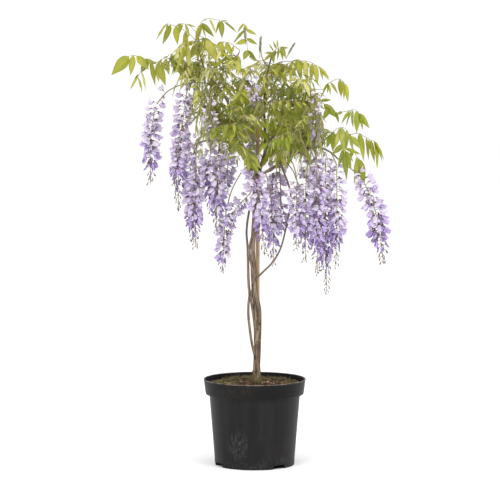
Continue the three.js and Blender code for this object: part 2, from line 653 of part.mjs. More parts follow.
// The leaves that a shoot lists itself.
const listedLeaves = (path, leaves) =>
  leaves.map(([share, tip, rise, length, pairs]) =>
    leafForm({ base: pointAt(path, share), tip: vector(tip), rise, length, pairs, hang: draw(0.8, 0.98) }),
  );

// More leaves by rule: each turns on by the golden angle, and further where it would meet something.
function ruledLeaves(path, count, owner) {
  const leaves = [];
  let heading = draw(0, 360);
  for (let i = 0; i < count; i++) {
    const base = pointAt(path, mix(0.45, 1, (i + 1) / count));
    const reach = draw(96, 126);
    const lift = draw(6, 30);
    const rise = draw(9, 18);
    const length = draw(48, 58);
    const hang = draw(0.66, 0.95);
    for (let attempt = 0; attempt < ATTEMPTS; attempt++) {
      const angle = THREE.MathUtils.degToRad(heading + attempt * LEAF_TURN.retry);
      const shorter = mix(1, 0.66, attempt / ATTEMPTS);
      const tip = along(base, new THREE.Vector3(Math.cos(angle), Math.sin(angle), 0), reach * shorter);
      tip.z += lift * (attempt % 4) - 8;
      const leaf = leafForm({ base, tip, rise, length: length * shorter, pairs: 2, hang });
      const points = leafPoints(leaf);
      if (!insideCrown(points) || !isClear(owner, points)) continue;
      leaves.push(leaf);
      takePoints(owner, points);
      break;
    }
    heading += LEAF_TURN.next;
  }
  return leaves;
}

function shootSolid(path, leaves) {
  const radii = path.map((_, i) => mix(SHOOT.base, SHOOT.tip, i / (path.length - 1)));
  return leaves.reduce(
    (joined, leaf) => joined.add(solidOf(slab(leafSheet(leaf)))),
    tube(path, radii, SHOOT.sides),
  );
}

// ---- the whole plant ----------------------------------------------------------------------------

const paint = (color, roughness) => new THREE.MeshStandardMaterial({ color, roughness, metalness: 0 });
const MATERIALS = {
  pot: paint(0x2d2d2f, 0.55),
  soil: paint(0x45382c, 0.95),
  cane: paint(0xc8965f, 0.7),
  bark: paint(0x8c7860, 0.85),
  flower: paint(0xa78fd0, 0.6),
  leaf: paint(0x96a032, 0.55),
};

const number = (i) => String(i + 1).padStart(2, "0");
const plant = new THREE.Group();
plant.add(meshOf("pot", potSolid(), MATERIALS.pot));
plant.add(meshOf("soil", soilSolid(), MATERIALS.soil));
plant.add(meshOf("cane", stakeSolid(), MATERIALS.cane));
plant.add(meshOf("woody_stems", woodSolid(0), MATERIALS.bark));

for (const points of Object.values(STEMS)) takePath("wood", points.map(vector), points.map((p) => p[3]));
const caneEnds = [STAKE.foot, STAKE.top].map((z) => new THREE.Vector3(STAKE.x, STAKE.y, z));
takePath("cane", caneEnds, [STAKE.radius, STAKE.radius]);
RACEMES.forEach((raceme, i) => {
  const { path, run, share } = racemeAxis(raceme);
  const reach = (length) => (share(length) < 0 ? PEDUNCLE : raceme[3] * spread(share(length)));
  takePath("raceme" + i, path, run.map(reach));
});

const clearance = woodSolid(GAP);
RACEMES.forEach((raceme, i) => {
  const solid = largest(racemeSolid(raceme).subtract(clearance));
  plant.add(meshOf("raceme_" + number(i), solid, MATERIALS.flower));
});

state = SEED; // so that the leaves stay as they are when the flowers change
const paths = SHOOTS.map(shootPath);
const leaves = SHOOTS.map(([, , listed], i) => listedLeaves(paths[i], listed));
paths.forEach((path, i) => {
  takePath("shoot" + i, path, path.map(() => SHOOT.base));
  leaves[i].forEach((leaf) => takePoints("shoot" + i, leafPoints(leaf)));
});
SHOOTS.forEach(([, , , more], i) => leaves[i].push(...ruledLeaves(paths[i], more, "shoot" + i)));
SHOOTS.forEach((_, i) => {
  const solid = largest(shootSolid(paths[i], leaves[i]).subtract(clearance));
  plant.add(meshOf("leafy_shoot_" + number(i), solid, MATERIALS.leaf));
});

export default plant;
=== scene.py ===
"""A wisteria grown as a small weeping tree, dressed for a studio picture: a nursery pot with mossy soil,
twisted stems on a cane, hanging racemes of pea flowers and arching shoots of feathered leaves.

Sizes are in millimetres and become metres where a mesh is made. +Z is up and the front looks to -Y."""
import math
from collections import namedtuple
from functools import partial

import bpy
import numpy as np
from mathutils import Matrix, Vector


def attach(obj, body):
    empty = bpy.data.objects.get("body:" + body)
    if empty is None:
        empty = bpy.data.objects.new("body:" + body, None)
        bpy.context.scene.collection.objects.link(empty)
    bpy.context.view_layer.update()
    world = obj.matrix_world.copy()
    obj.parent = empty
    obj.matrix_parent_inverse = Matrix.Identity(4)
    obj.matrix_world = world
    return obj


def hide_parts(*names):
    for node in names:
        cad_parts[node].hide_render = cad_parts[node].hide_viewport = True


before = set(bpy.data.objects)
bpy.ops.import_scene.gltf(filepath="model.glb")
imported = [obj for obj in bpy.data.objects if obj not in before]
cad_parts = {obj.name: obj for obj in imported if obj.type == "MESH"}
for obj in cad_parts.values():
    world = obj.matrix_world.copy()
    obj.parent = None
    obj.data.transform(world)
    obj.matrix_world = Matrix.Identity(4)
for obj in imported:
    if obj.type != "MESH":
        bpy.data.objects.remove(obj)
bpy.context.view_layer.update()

# ---- driving dimensions ----------------------------------------------------------------------------

SEED = 1832
RACEME_SEED, SHOOT_SEED = SEED + 99, SEED + 299  # a raceme's or shoot's number is added
MM = 0.001  # metres

POT_HEIGHT, RIM_RADIUS, LIP = 236, 140, 3.2
COLLAR_HEIGHT, COLLAR_FOOT, SHOULDER, FOOT = 41, 134, 124.5, 108.5  # all but the first are radii
WALL, FLOOR = 2.2, 3
LEDGE = POT_HEIGHT - COLLAR_HEIGHT  # the height of the collar's lower edge
POT_SIDES = 144
NOTCHES, NOTCH_WIDTH, NOTCH_HEIGHT, NOTCH_DEPTH = (38, 167, -65), 37, 10, 16  # first their headings
SOIL_BELOW, SOIL_CROWN, SOIL_LUMPS = 14, 9, 2.6  # under the rim, rise at the stem, height of the lumps
CANE_X, CANE_Y, CANE_RADIUS, CANE_FOOT, CANE_TOP = 8.5, 17, 5.5, 60.3, 926
CANE_JOINTS = (96, 232, 371, 517, 668, 812)
KEPT_OPEN = 14, 20  # how far the added leaves keep from the cane's front, beside it and above it
STEM_X, SOIL_REACH = 6, 127  # the middle of the clear ring at the stem, and the edge of what lies on the soil
RUBBED, RUBBED_HALF = (-0.044, 0.07), (0.036, 0.055)  # a worn patch on the pot's front, in metres

PEDUNCLE = 1.7  # the clear radius kept round a raceme's bare stalk
FLOWER_REACH = 27  # from the stalk to the end of a flower as its pattern is drawn
HEAD, HEADS = 22, {1: 40, 2: 34}  # how far up the bare stalk loose flowers start: most racemes, and two
BUDS_FROM, BUDS_SMALLEST = 0.69, 0.94  # shares of the flowering length
GOLDEN = 137.5  # degrees from one leaf or flower to the next round its stalk

SHOOT_BASE = 2.5  # radius kept clear along a shoot
PETIOLE, LAST_PAIR, PAIR_ROOT = 0.32, 0.86, 2.4  # shares of a leaf's rib, and mm
LEAFLET_WIDTH, WIDEST, CURL = 0.37, 0.42, 0.08  # shares of a leaflet's length
CROWN_CENTRE, CROWN_HALF, CROWN_LOWEST = (4, 0, 970), (182, 240, 175), 818
CLEAR = 8.5  # least gap between a leaf's points and what the other pieces fill
BEAD = 6  # spacing of the balls that stand for a stem
ATTEMPTS, RETRY_TURN = 36, 47  # directions that a leaf tries, and degrees between them
MORE_PAIRS = 3  # of leaflets, past what the solid leaf has
FILLING, FILLING_TRIES = 7, 70  # leaves that a shoot adds inside the crown, at most
FILLED = [  # the rounded spaces that they keep to: middle and half sizes
    ((20, 0, 945), (195, 230, 160)), ((-150, 0, 1070), (110, 110, 100)), ((30, -55, 905), (150, 115, 100)),
]
DRAWN_WIDTH = 1.3  # how much wider the drawn leaflets grow than their drawing

CAMERA, LOOKED_AT, LENS = (-0.0128, -7, 1.2), (-0.0128, 0, 0.589), 185.6  # metres, and mm for the lens
SOFTBOXES = (  # place and width in metres, and watts
    ("left_softbox", (-2.2, -3.4, 2.6), 2.0, 55),
    ("right_softbox", (2.6, -2.6, 2.2), 2.0, 40),
    ("top_softbox", (0.2, -0.6, 3.6), 1.6, 30),
)

# ---- where everything grows ------------------------------------------------------------------------

# Woody stems, each a list of [x, y, z, radius] along its middle.
STEMS = {
    "trunk": [
        [5, 0, 150, 9.5], [5, 0, 222, 11.3], [5, 0, 250, 10.6], [5, 0, 300, 8.6], [5, 0, 350, 8],
        [6, 0, 386, 9.8], [5, 0, 403, 8.4], [4, 0, 440, 9], [0, 0, 480, 8.2], [-4, 0, 550, 7.2],
        [-5, 0, 600, 7], [-2, 1, 650, 7], [2, 1, 700, 7.2], [5, 0, 760, 8], [8, 0, 805, 8.6],
    ],
    "leftTwist": [
        [3, -3, 290, 4], [-7, -9, 330, 3.5], [-13, -9, 370, 3.6], [-17, -7, 410, 3.6], [-17, -4, 440, 3.4],
        [-14, -3, 468, 3.6], [-17, -4, 505, 3.8], [-19, 2, 590, 3], [-22, 4, 640, 2.8],
        [-16, 6, 690, 3], [0, 3, 755, 3.4],
    ],
    "rightTwist": [
        [8, 1, 235, 3.4], [13, 3, 290, 3.2], [16, 4, 408, 3], [11, 3, 448, 3], [3, 1, 492, 3.2],
    ],
    "bulge": [
        [-1, -2, 388, 3], [-5, -5, 420, 3.4], [-9, -6, 446, 3.4], [-9, -6, 468, 3.6], [-2, -2, 500, 3],
    ],
    "crossing": [
        [10, -4, 384, 3.4], [14, -11, 403, 3], [13, -14, 424, 3], [8, -15, 445, 3], [0, -14, 476, 3],
        [-2, -13, 514, 3], [-10, -12, 552, 3], [-16, -9, 584, 3], [-12, -4, 608, 3],
        [-5, 0, 630, 3.4],
    ],
    "vine": [
        [-1, -3, 504, 3], [20, -9, 527, 2.6], [45, -14, 552, 2.4], [65, -18, 583, 2.3], [78, -20, 620, 2.3],
        [95, -18, 700, 2.3], [98, -16, 738, 2.3], [92, -17, 768, 2.4], [80, -22, 800, 2.6],
        [70, -26, 828, 3],
    ],
    "leader": [
        [6, 0, 790, 5], [22, 2, 835, 4.6], [30, 12, 870, 4.2], [27, 24, 920, 3.7], [26, 22, 980, 3.2],
        [30, 12, 1040, 2.8], [38, 0, 1085, 2.4], [48, -6, 1125, 2.1],
    ],
    "left": [
        [4, 0, 785, 4.3], [-20, -6, 826, 4.2], [-44, -12, 868, 4], [-51, -15, 902, 3.7], [-57, -18, 942, 3.4],
        [-70, -20, 985, 3.1], [-86, -19, 1014, 2.9], [-104, -16, 1040, 2.7], [-126, -12, 1064, 3],
        [-143, -8, 1100, 2.3], [-152, -6, 1146, 2.1],
    ],
    "leftFront": [
        [-46, -13, 878, 2.9], [-72, -52, 884, 2.8], [-104, -82, 893, 2.5], [-138, -98, 890, 2.3],
        [-164, -104, 878, 2.1],
    ],
    "leftBack": [
        [-57, -18, 942, 2.9], [-88, 30, 958, 2.7], [-125, 62, 968, 2.5], [-162, 78, 960, 2.3],
        [-190, 84, 945, 2.1],
    ],
    "right": [
        [8, 0, 795, 4.3], [28, -10, 802, 4.2], [48, -19, 812, 4], [66, -26, 828, 3.6], [84, -30, 842, 3.3],
        [100, -30, 850, 3.1], [126, -26, 862, 2.8], [152, -20, 870, 2.6], [180, -14, 868, 2.4],
        [206, -8, 856, 2.2], [226, -5, 838, 2.1],
    ],
    "rightFront": [
        [66, -26, 828, 2.9], [88, -70, 850, 2.7], [112, -110, 862, 2.5], [138, -142, 852, 2.1],
    ],
    "rightUpper": [
        [27, 24, 920, 3.1], [60, 26, 945, 2.9], [98, 24, 968, 2.7], [135, 18, 984, 3], [170, 8, 992, 2.8],
    ],
    "top": [
        [26, 22, 980, 2.8], [0, 6, 1020, 2.6], [-28, -6, 1062, 2.3], [-50, -12, 1105, 2.1],
    ],
    "backLeft": [
        [5, 0, 790, 4], [-12, 12, 820, 3.7], [-35, 50, 860, 3.3], [-62, 92, 892, 2.9], [-95, 124, 905, 2.6],
        [-130, 150, 898, 2.2],
    ],
    "backRight": [
        [30, 12, 870, 3.3], [45, 50, 890, 3], [75, 95, 905, 2.8], [110, 130, 900, 2.5], [140, 150, 885, 2.1],
    ],
    "front": [
        [5, -2, 790, 3.5], [8, -40, 835, 3.2], [5, -85, 885, 2.8], [-5, -125, 910, 2.5],
        [-15, -160, 905, 2.1],
    ],
    "back": [
        [26, 22, 950, 2.9], [20, 70, 985, 2.7], [10, 112, 1012, 2.4], [0, 145, 1020, 2.1],
    ],
}

# Racemes: [stem, its point], the bare stalk's points, the flowering points down to the tip, widest radius.
RACEMES = [
    [["left", 7],
        [[-130, -14, 1043], [-165, -12, 1044], [-200, -11, 1038], [-230, -10, 1025], [-252, -10, 1004]],
        [[-266, -10, 982], [-277, -9, 935], [-283, -9, 870], [-282, -9, 770]], 29],
    [["left", 8], [[-144, 10, 1054], [-170, 15, 1046]],
        [[-184, 12, 1020], [-197, 13, 925], [-206, 13, 820], [-208, 14, 700]], 29],
    [["left", 6], [[-115, -36, 1008], [-145, -46, 985], [-168, -50, 962], [-187, -51, 935]],
        [[-201, -52, 902], [-211, -52, 850], [-216, -52, 765]], 25],
    [["leftBack", 2], [[-140, 63, 915], [-160, 63, 868], [-172, 63, 832]],
        [[-176, 63, 800], [-175, 63, 700], [-170, 62, 610]], 26],
    [["leftFront", 3], [[-148, -66, 886], [-156, -38, 872]],
        [[-159, -24, 845], [-160, -22, 720], [-160, -22, 598]], 27],
    [["leftBack", 1], [[-106, 33, 928], [-116, 34, 895]],
        [[-120, 34, 868], [-122, 34, 780], [-122, 33, 690]], 24],
    [["leftFront", 1], [[-88, -48, 884]],
        [[-98, -45, 862], [-102, -44, 760], [-104, -44, 640]], 26],
    [["backLeft", 2], [[-55, 68, 868]],
        [[-70, 78, 845], [-75, 80, 790], [-76, 80, 735]], 22],
    [["backLeft", 1], [[-30, 16, 808], [-48, 18, 780], [-63, 18, 750], [-73, 17, 715]],
        [[-79, 16, 685], [-84, 15, 620], [-88, 14, 525]], 25],
    [["front", 1], [[0, -46, 800], [-2, -45, 768]],
        [[-14, -43, 745], [-35, -40, 722], [-54, -38, 700], [-63, -38, 675], [-64, -38, 636]], 23],
    [["front", 2], [[-4, -98, 862]],
        [[-6, -99, 838], [0, -98, 790], [14, -96, 710], [28, -94, 588]], 31],
    [["right", 1], [[36, -30, 780]],
        [[42, -34, 755], [48, -33, 660], [52, -32, 552]], 26],
    [["backRight", 1], [[62, 48, 850], [69, 44, 790], [71, 42, 745]],
        [[72, 42, 720], [74, 41, 628]], 21],
    [["rightFront", 1], [[104, -70, 825], [114, -66, 780]],
        [[113, -66, 755], [113, -68, 670], [113, -68, 597]], 24],
    [["right", 7], [[152, 2, 845]],
        [[143, 1, 815], [138, -3, 690], [138, -3, 558]], 27],
    [["right", 7], [[162, -40, 856]],
        [[168, -56, 822], [168, -60, 660], [170, -60, 530]], 28],
    [["right", 8], [[190, 14, 848]],
        [[194, 32, 812], [194, 35, 650], [197, 35, 470]], 29],
    [["right", 9], [[216, -20, 836]],
        [[222, -23, 808], [223, -22, 690], [221, -22, 548]], 28],
    [["right", 10], [[246, -3, 822], [270, -2, 804]],
        [[292, -3, 782], [308, -4, 752], [321, -5, 722], [332, -6, 680], [342, -6, 620], [350, -7, 553]], 34],
    [["top", 2], [[-20, -40, 1074], [-12, -68, 1070]],
        [[-8, -84, 1050], [-3, -86, 1010], [0, -86, 972]], 17],
    [["rightUpper", 3], [[143, -12, 998], [156, -46, 1008]],
        [[166, -66, 990], [163, -69, 930], [163, -69, 860]], 19],
    [["left", 7], [[-112, -56, 1030], [-118, -92, 1012]],
        [[-119, -112, 985], [-117, -119, 925], [-116, -119, 864]], 18],
    [["backLeft", 4], [[-100, 146, 892]],
        [[-99, 152, 865], [-98, 153, 760], [-98, 153, 640]], 25],
    [["backLeft", 5], [[-154, 156, 888]],
        [[-168, 158, 862], [-172, 158, 760], [-172, 158, 652]], 23],
    [["backRight", 2], [[64, 116, 892]],
        [[60, 124, 865], [60, 125, 750], [60, 125, 628]], 25],
    [["backRight", 4], [[158, 154, 872]],
        [[168, 154, 845], [170, 152, 730], [170, 152, 606]], 25],
    [["back", 3], [[-4, 165, 1004]],
        [[-6, 172, 975], [-6, 174, 870], [-6, 174, 762]], 23],
]

# Leafy shoots: [stem, its point], the shoot's points, its own leaves as
# [share along the shoot, rib's end, rise of the arch, leaflet length, pairs],
# and how many more it carries by rule.
SHOOTS = [
    [["left", 8], [[-156, -19, 1083], [-200, -16, 1090], [-235, -17, 1093], [-262, -18, 1100]], [
        [1, [-340, -20, 1122], 9, 54, 3],
        [0.62, [-262, -40, 1098], 24, 44, 2],
        [0.3, [-206, 40, 1108], 16, 46, 2],
    ], 0],
    [["left", 10], [[-151, -6, 1176], [-146, -5, 1204]], [
        [0.98, [-72, 10, 1214], 8, 42, 3],
        [0.45, [-238, -4, 1204], 16, 48, 3],
        [0.2, [-112, -64, 1154], 12, 56, 2],
        [0.3, [-196, -52, 1160], 12, 46, 2],
    ], 0],
    [["top", 3], [[-40, -14, 1132]], [
        [1, [-22, -40, 1172], 12, 42, 2],
        [0.5, [-96, -12, 1156], 12, 42, 2],
        [0.75, [2, -34, 1150], 10, 40, 2],
    ], 0],
    [["leader", 6], [[20, -8, 1112], [16, -10, 1150]], [
        [0.95, [18, -12, 1186], 2, 26, 2],
        [0.4, [10, 46, 1130], 10, 44, 2],
    ], 0],
    [["leader", 7], [[70, -10, 1128], [88, -12, 1142]], [
        [0.95, [106, -14, 1162], 3, 28, 2],
        [0.3, [38, -24, 1160], 8, 34, 2],
    ], 0],
    [["leader", 6], [[62, 4, 1096], [84, 8, 1102]], [
        [1, [184, 8, 1081], 16, 48, 3],
        [0.5, [108, -44, 1112], 12, 44, 2],
    ], 0],
    [["rightUpper", 4], [[186, 12, 1016], [198, -6, 1042]], [
        [1, [246, -30, 1054], 8, 46, 2],
        [0.12, [292, -8, 966], 14, 48, 3],
        [0.6, [158, 24, 1056], 10, 42, 2],
    ], 0],
    [["right", 8], [[196, -18, 896], [232, -22, 906], [262, -20, 905]], [
        [0.78, [322, -18, 900], 10, 54, 3],
        [0.35, [250, -62, 926], 14, 48, 2],
        [0.86, [284, 10, 862], 5, 60, 2],
    ], 0],
    [["left", 9], [[-158, -34, 1096], [-166, -50, 1074]], [
        [1, [-150, -74, 990], 8, 46, 3],
        [0.6, [-196, -60, 1062], 12, 46, 2],
    ], 0],
    [["front", 4], [[-26, -178, 925], [-32, -190, 950]], [], 2],
    [["front", 3], [[10, -134, 948], [24, -140, 985]], [], 2],
    [["front", 2], [[-16, -92, 918], [-36, -96, 950]], [], 2],
    [["leftFront", 4], [[-150, -134, 896], [-128, -158, 915]], [], 2],
    [["leftFront", 2], [[-90, -96, 930], [-76, -104, 965]], [], 2],
    [["leftBack", 4], [[-178, 104, 972], [-160, 122, 998]], [], 2],
    [["leftBack", 2], [[-124, 74, 1004], [-120, 84, 1040]], [], 2],
    [["left", 6], [[-80, -48, 1042], [-74, -66, 1074]], [], 2],
    [["left", 4], [[-62, -50, 958], [-60, -78, 975]], [], 2],
    [["leader", 5], [[52, 26, 1062], [72, 36, 1084]], [], 2],
    [["leader", 4], [[48, -6, 998], [62, -32, 1014]], [], 2],
    [["rightUpper", 2], [[100, -4, 1006], [102, -24, 1034]], [], 2],
    [["rightUpper", 3], [[138, 42, 1016], [142, 62, 1040]], [], 2],
    [["right", 6], [[132, -46, 900], [138, -64, 932]], [], 2],
    [["rightFront", 3], [[130, -152, 884], [118, -158, 912]], [], 2],
    [["rightFront", 2], [[102, -126, 902], [94, -138, 936]], [], 2],
    [["backLeft", 4], [[-112, 150, 940], [-122, 164, 970]], [], 2],
    [["backLeft", 3], [[-66, 104, 938], [-68, 112, 972]], [], 2],
    [["backRight", 3], [[122, 150, 936], [130, 164, 966]], [], 2],
    [["backRight", 2], [[86, 106, 948], [90, 116, 982]], [], 2],
]

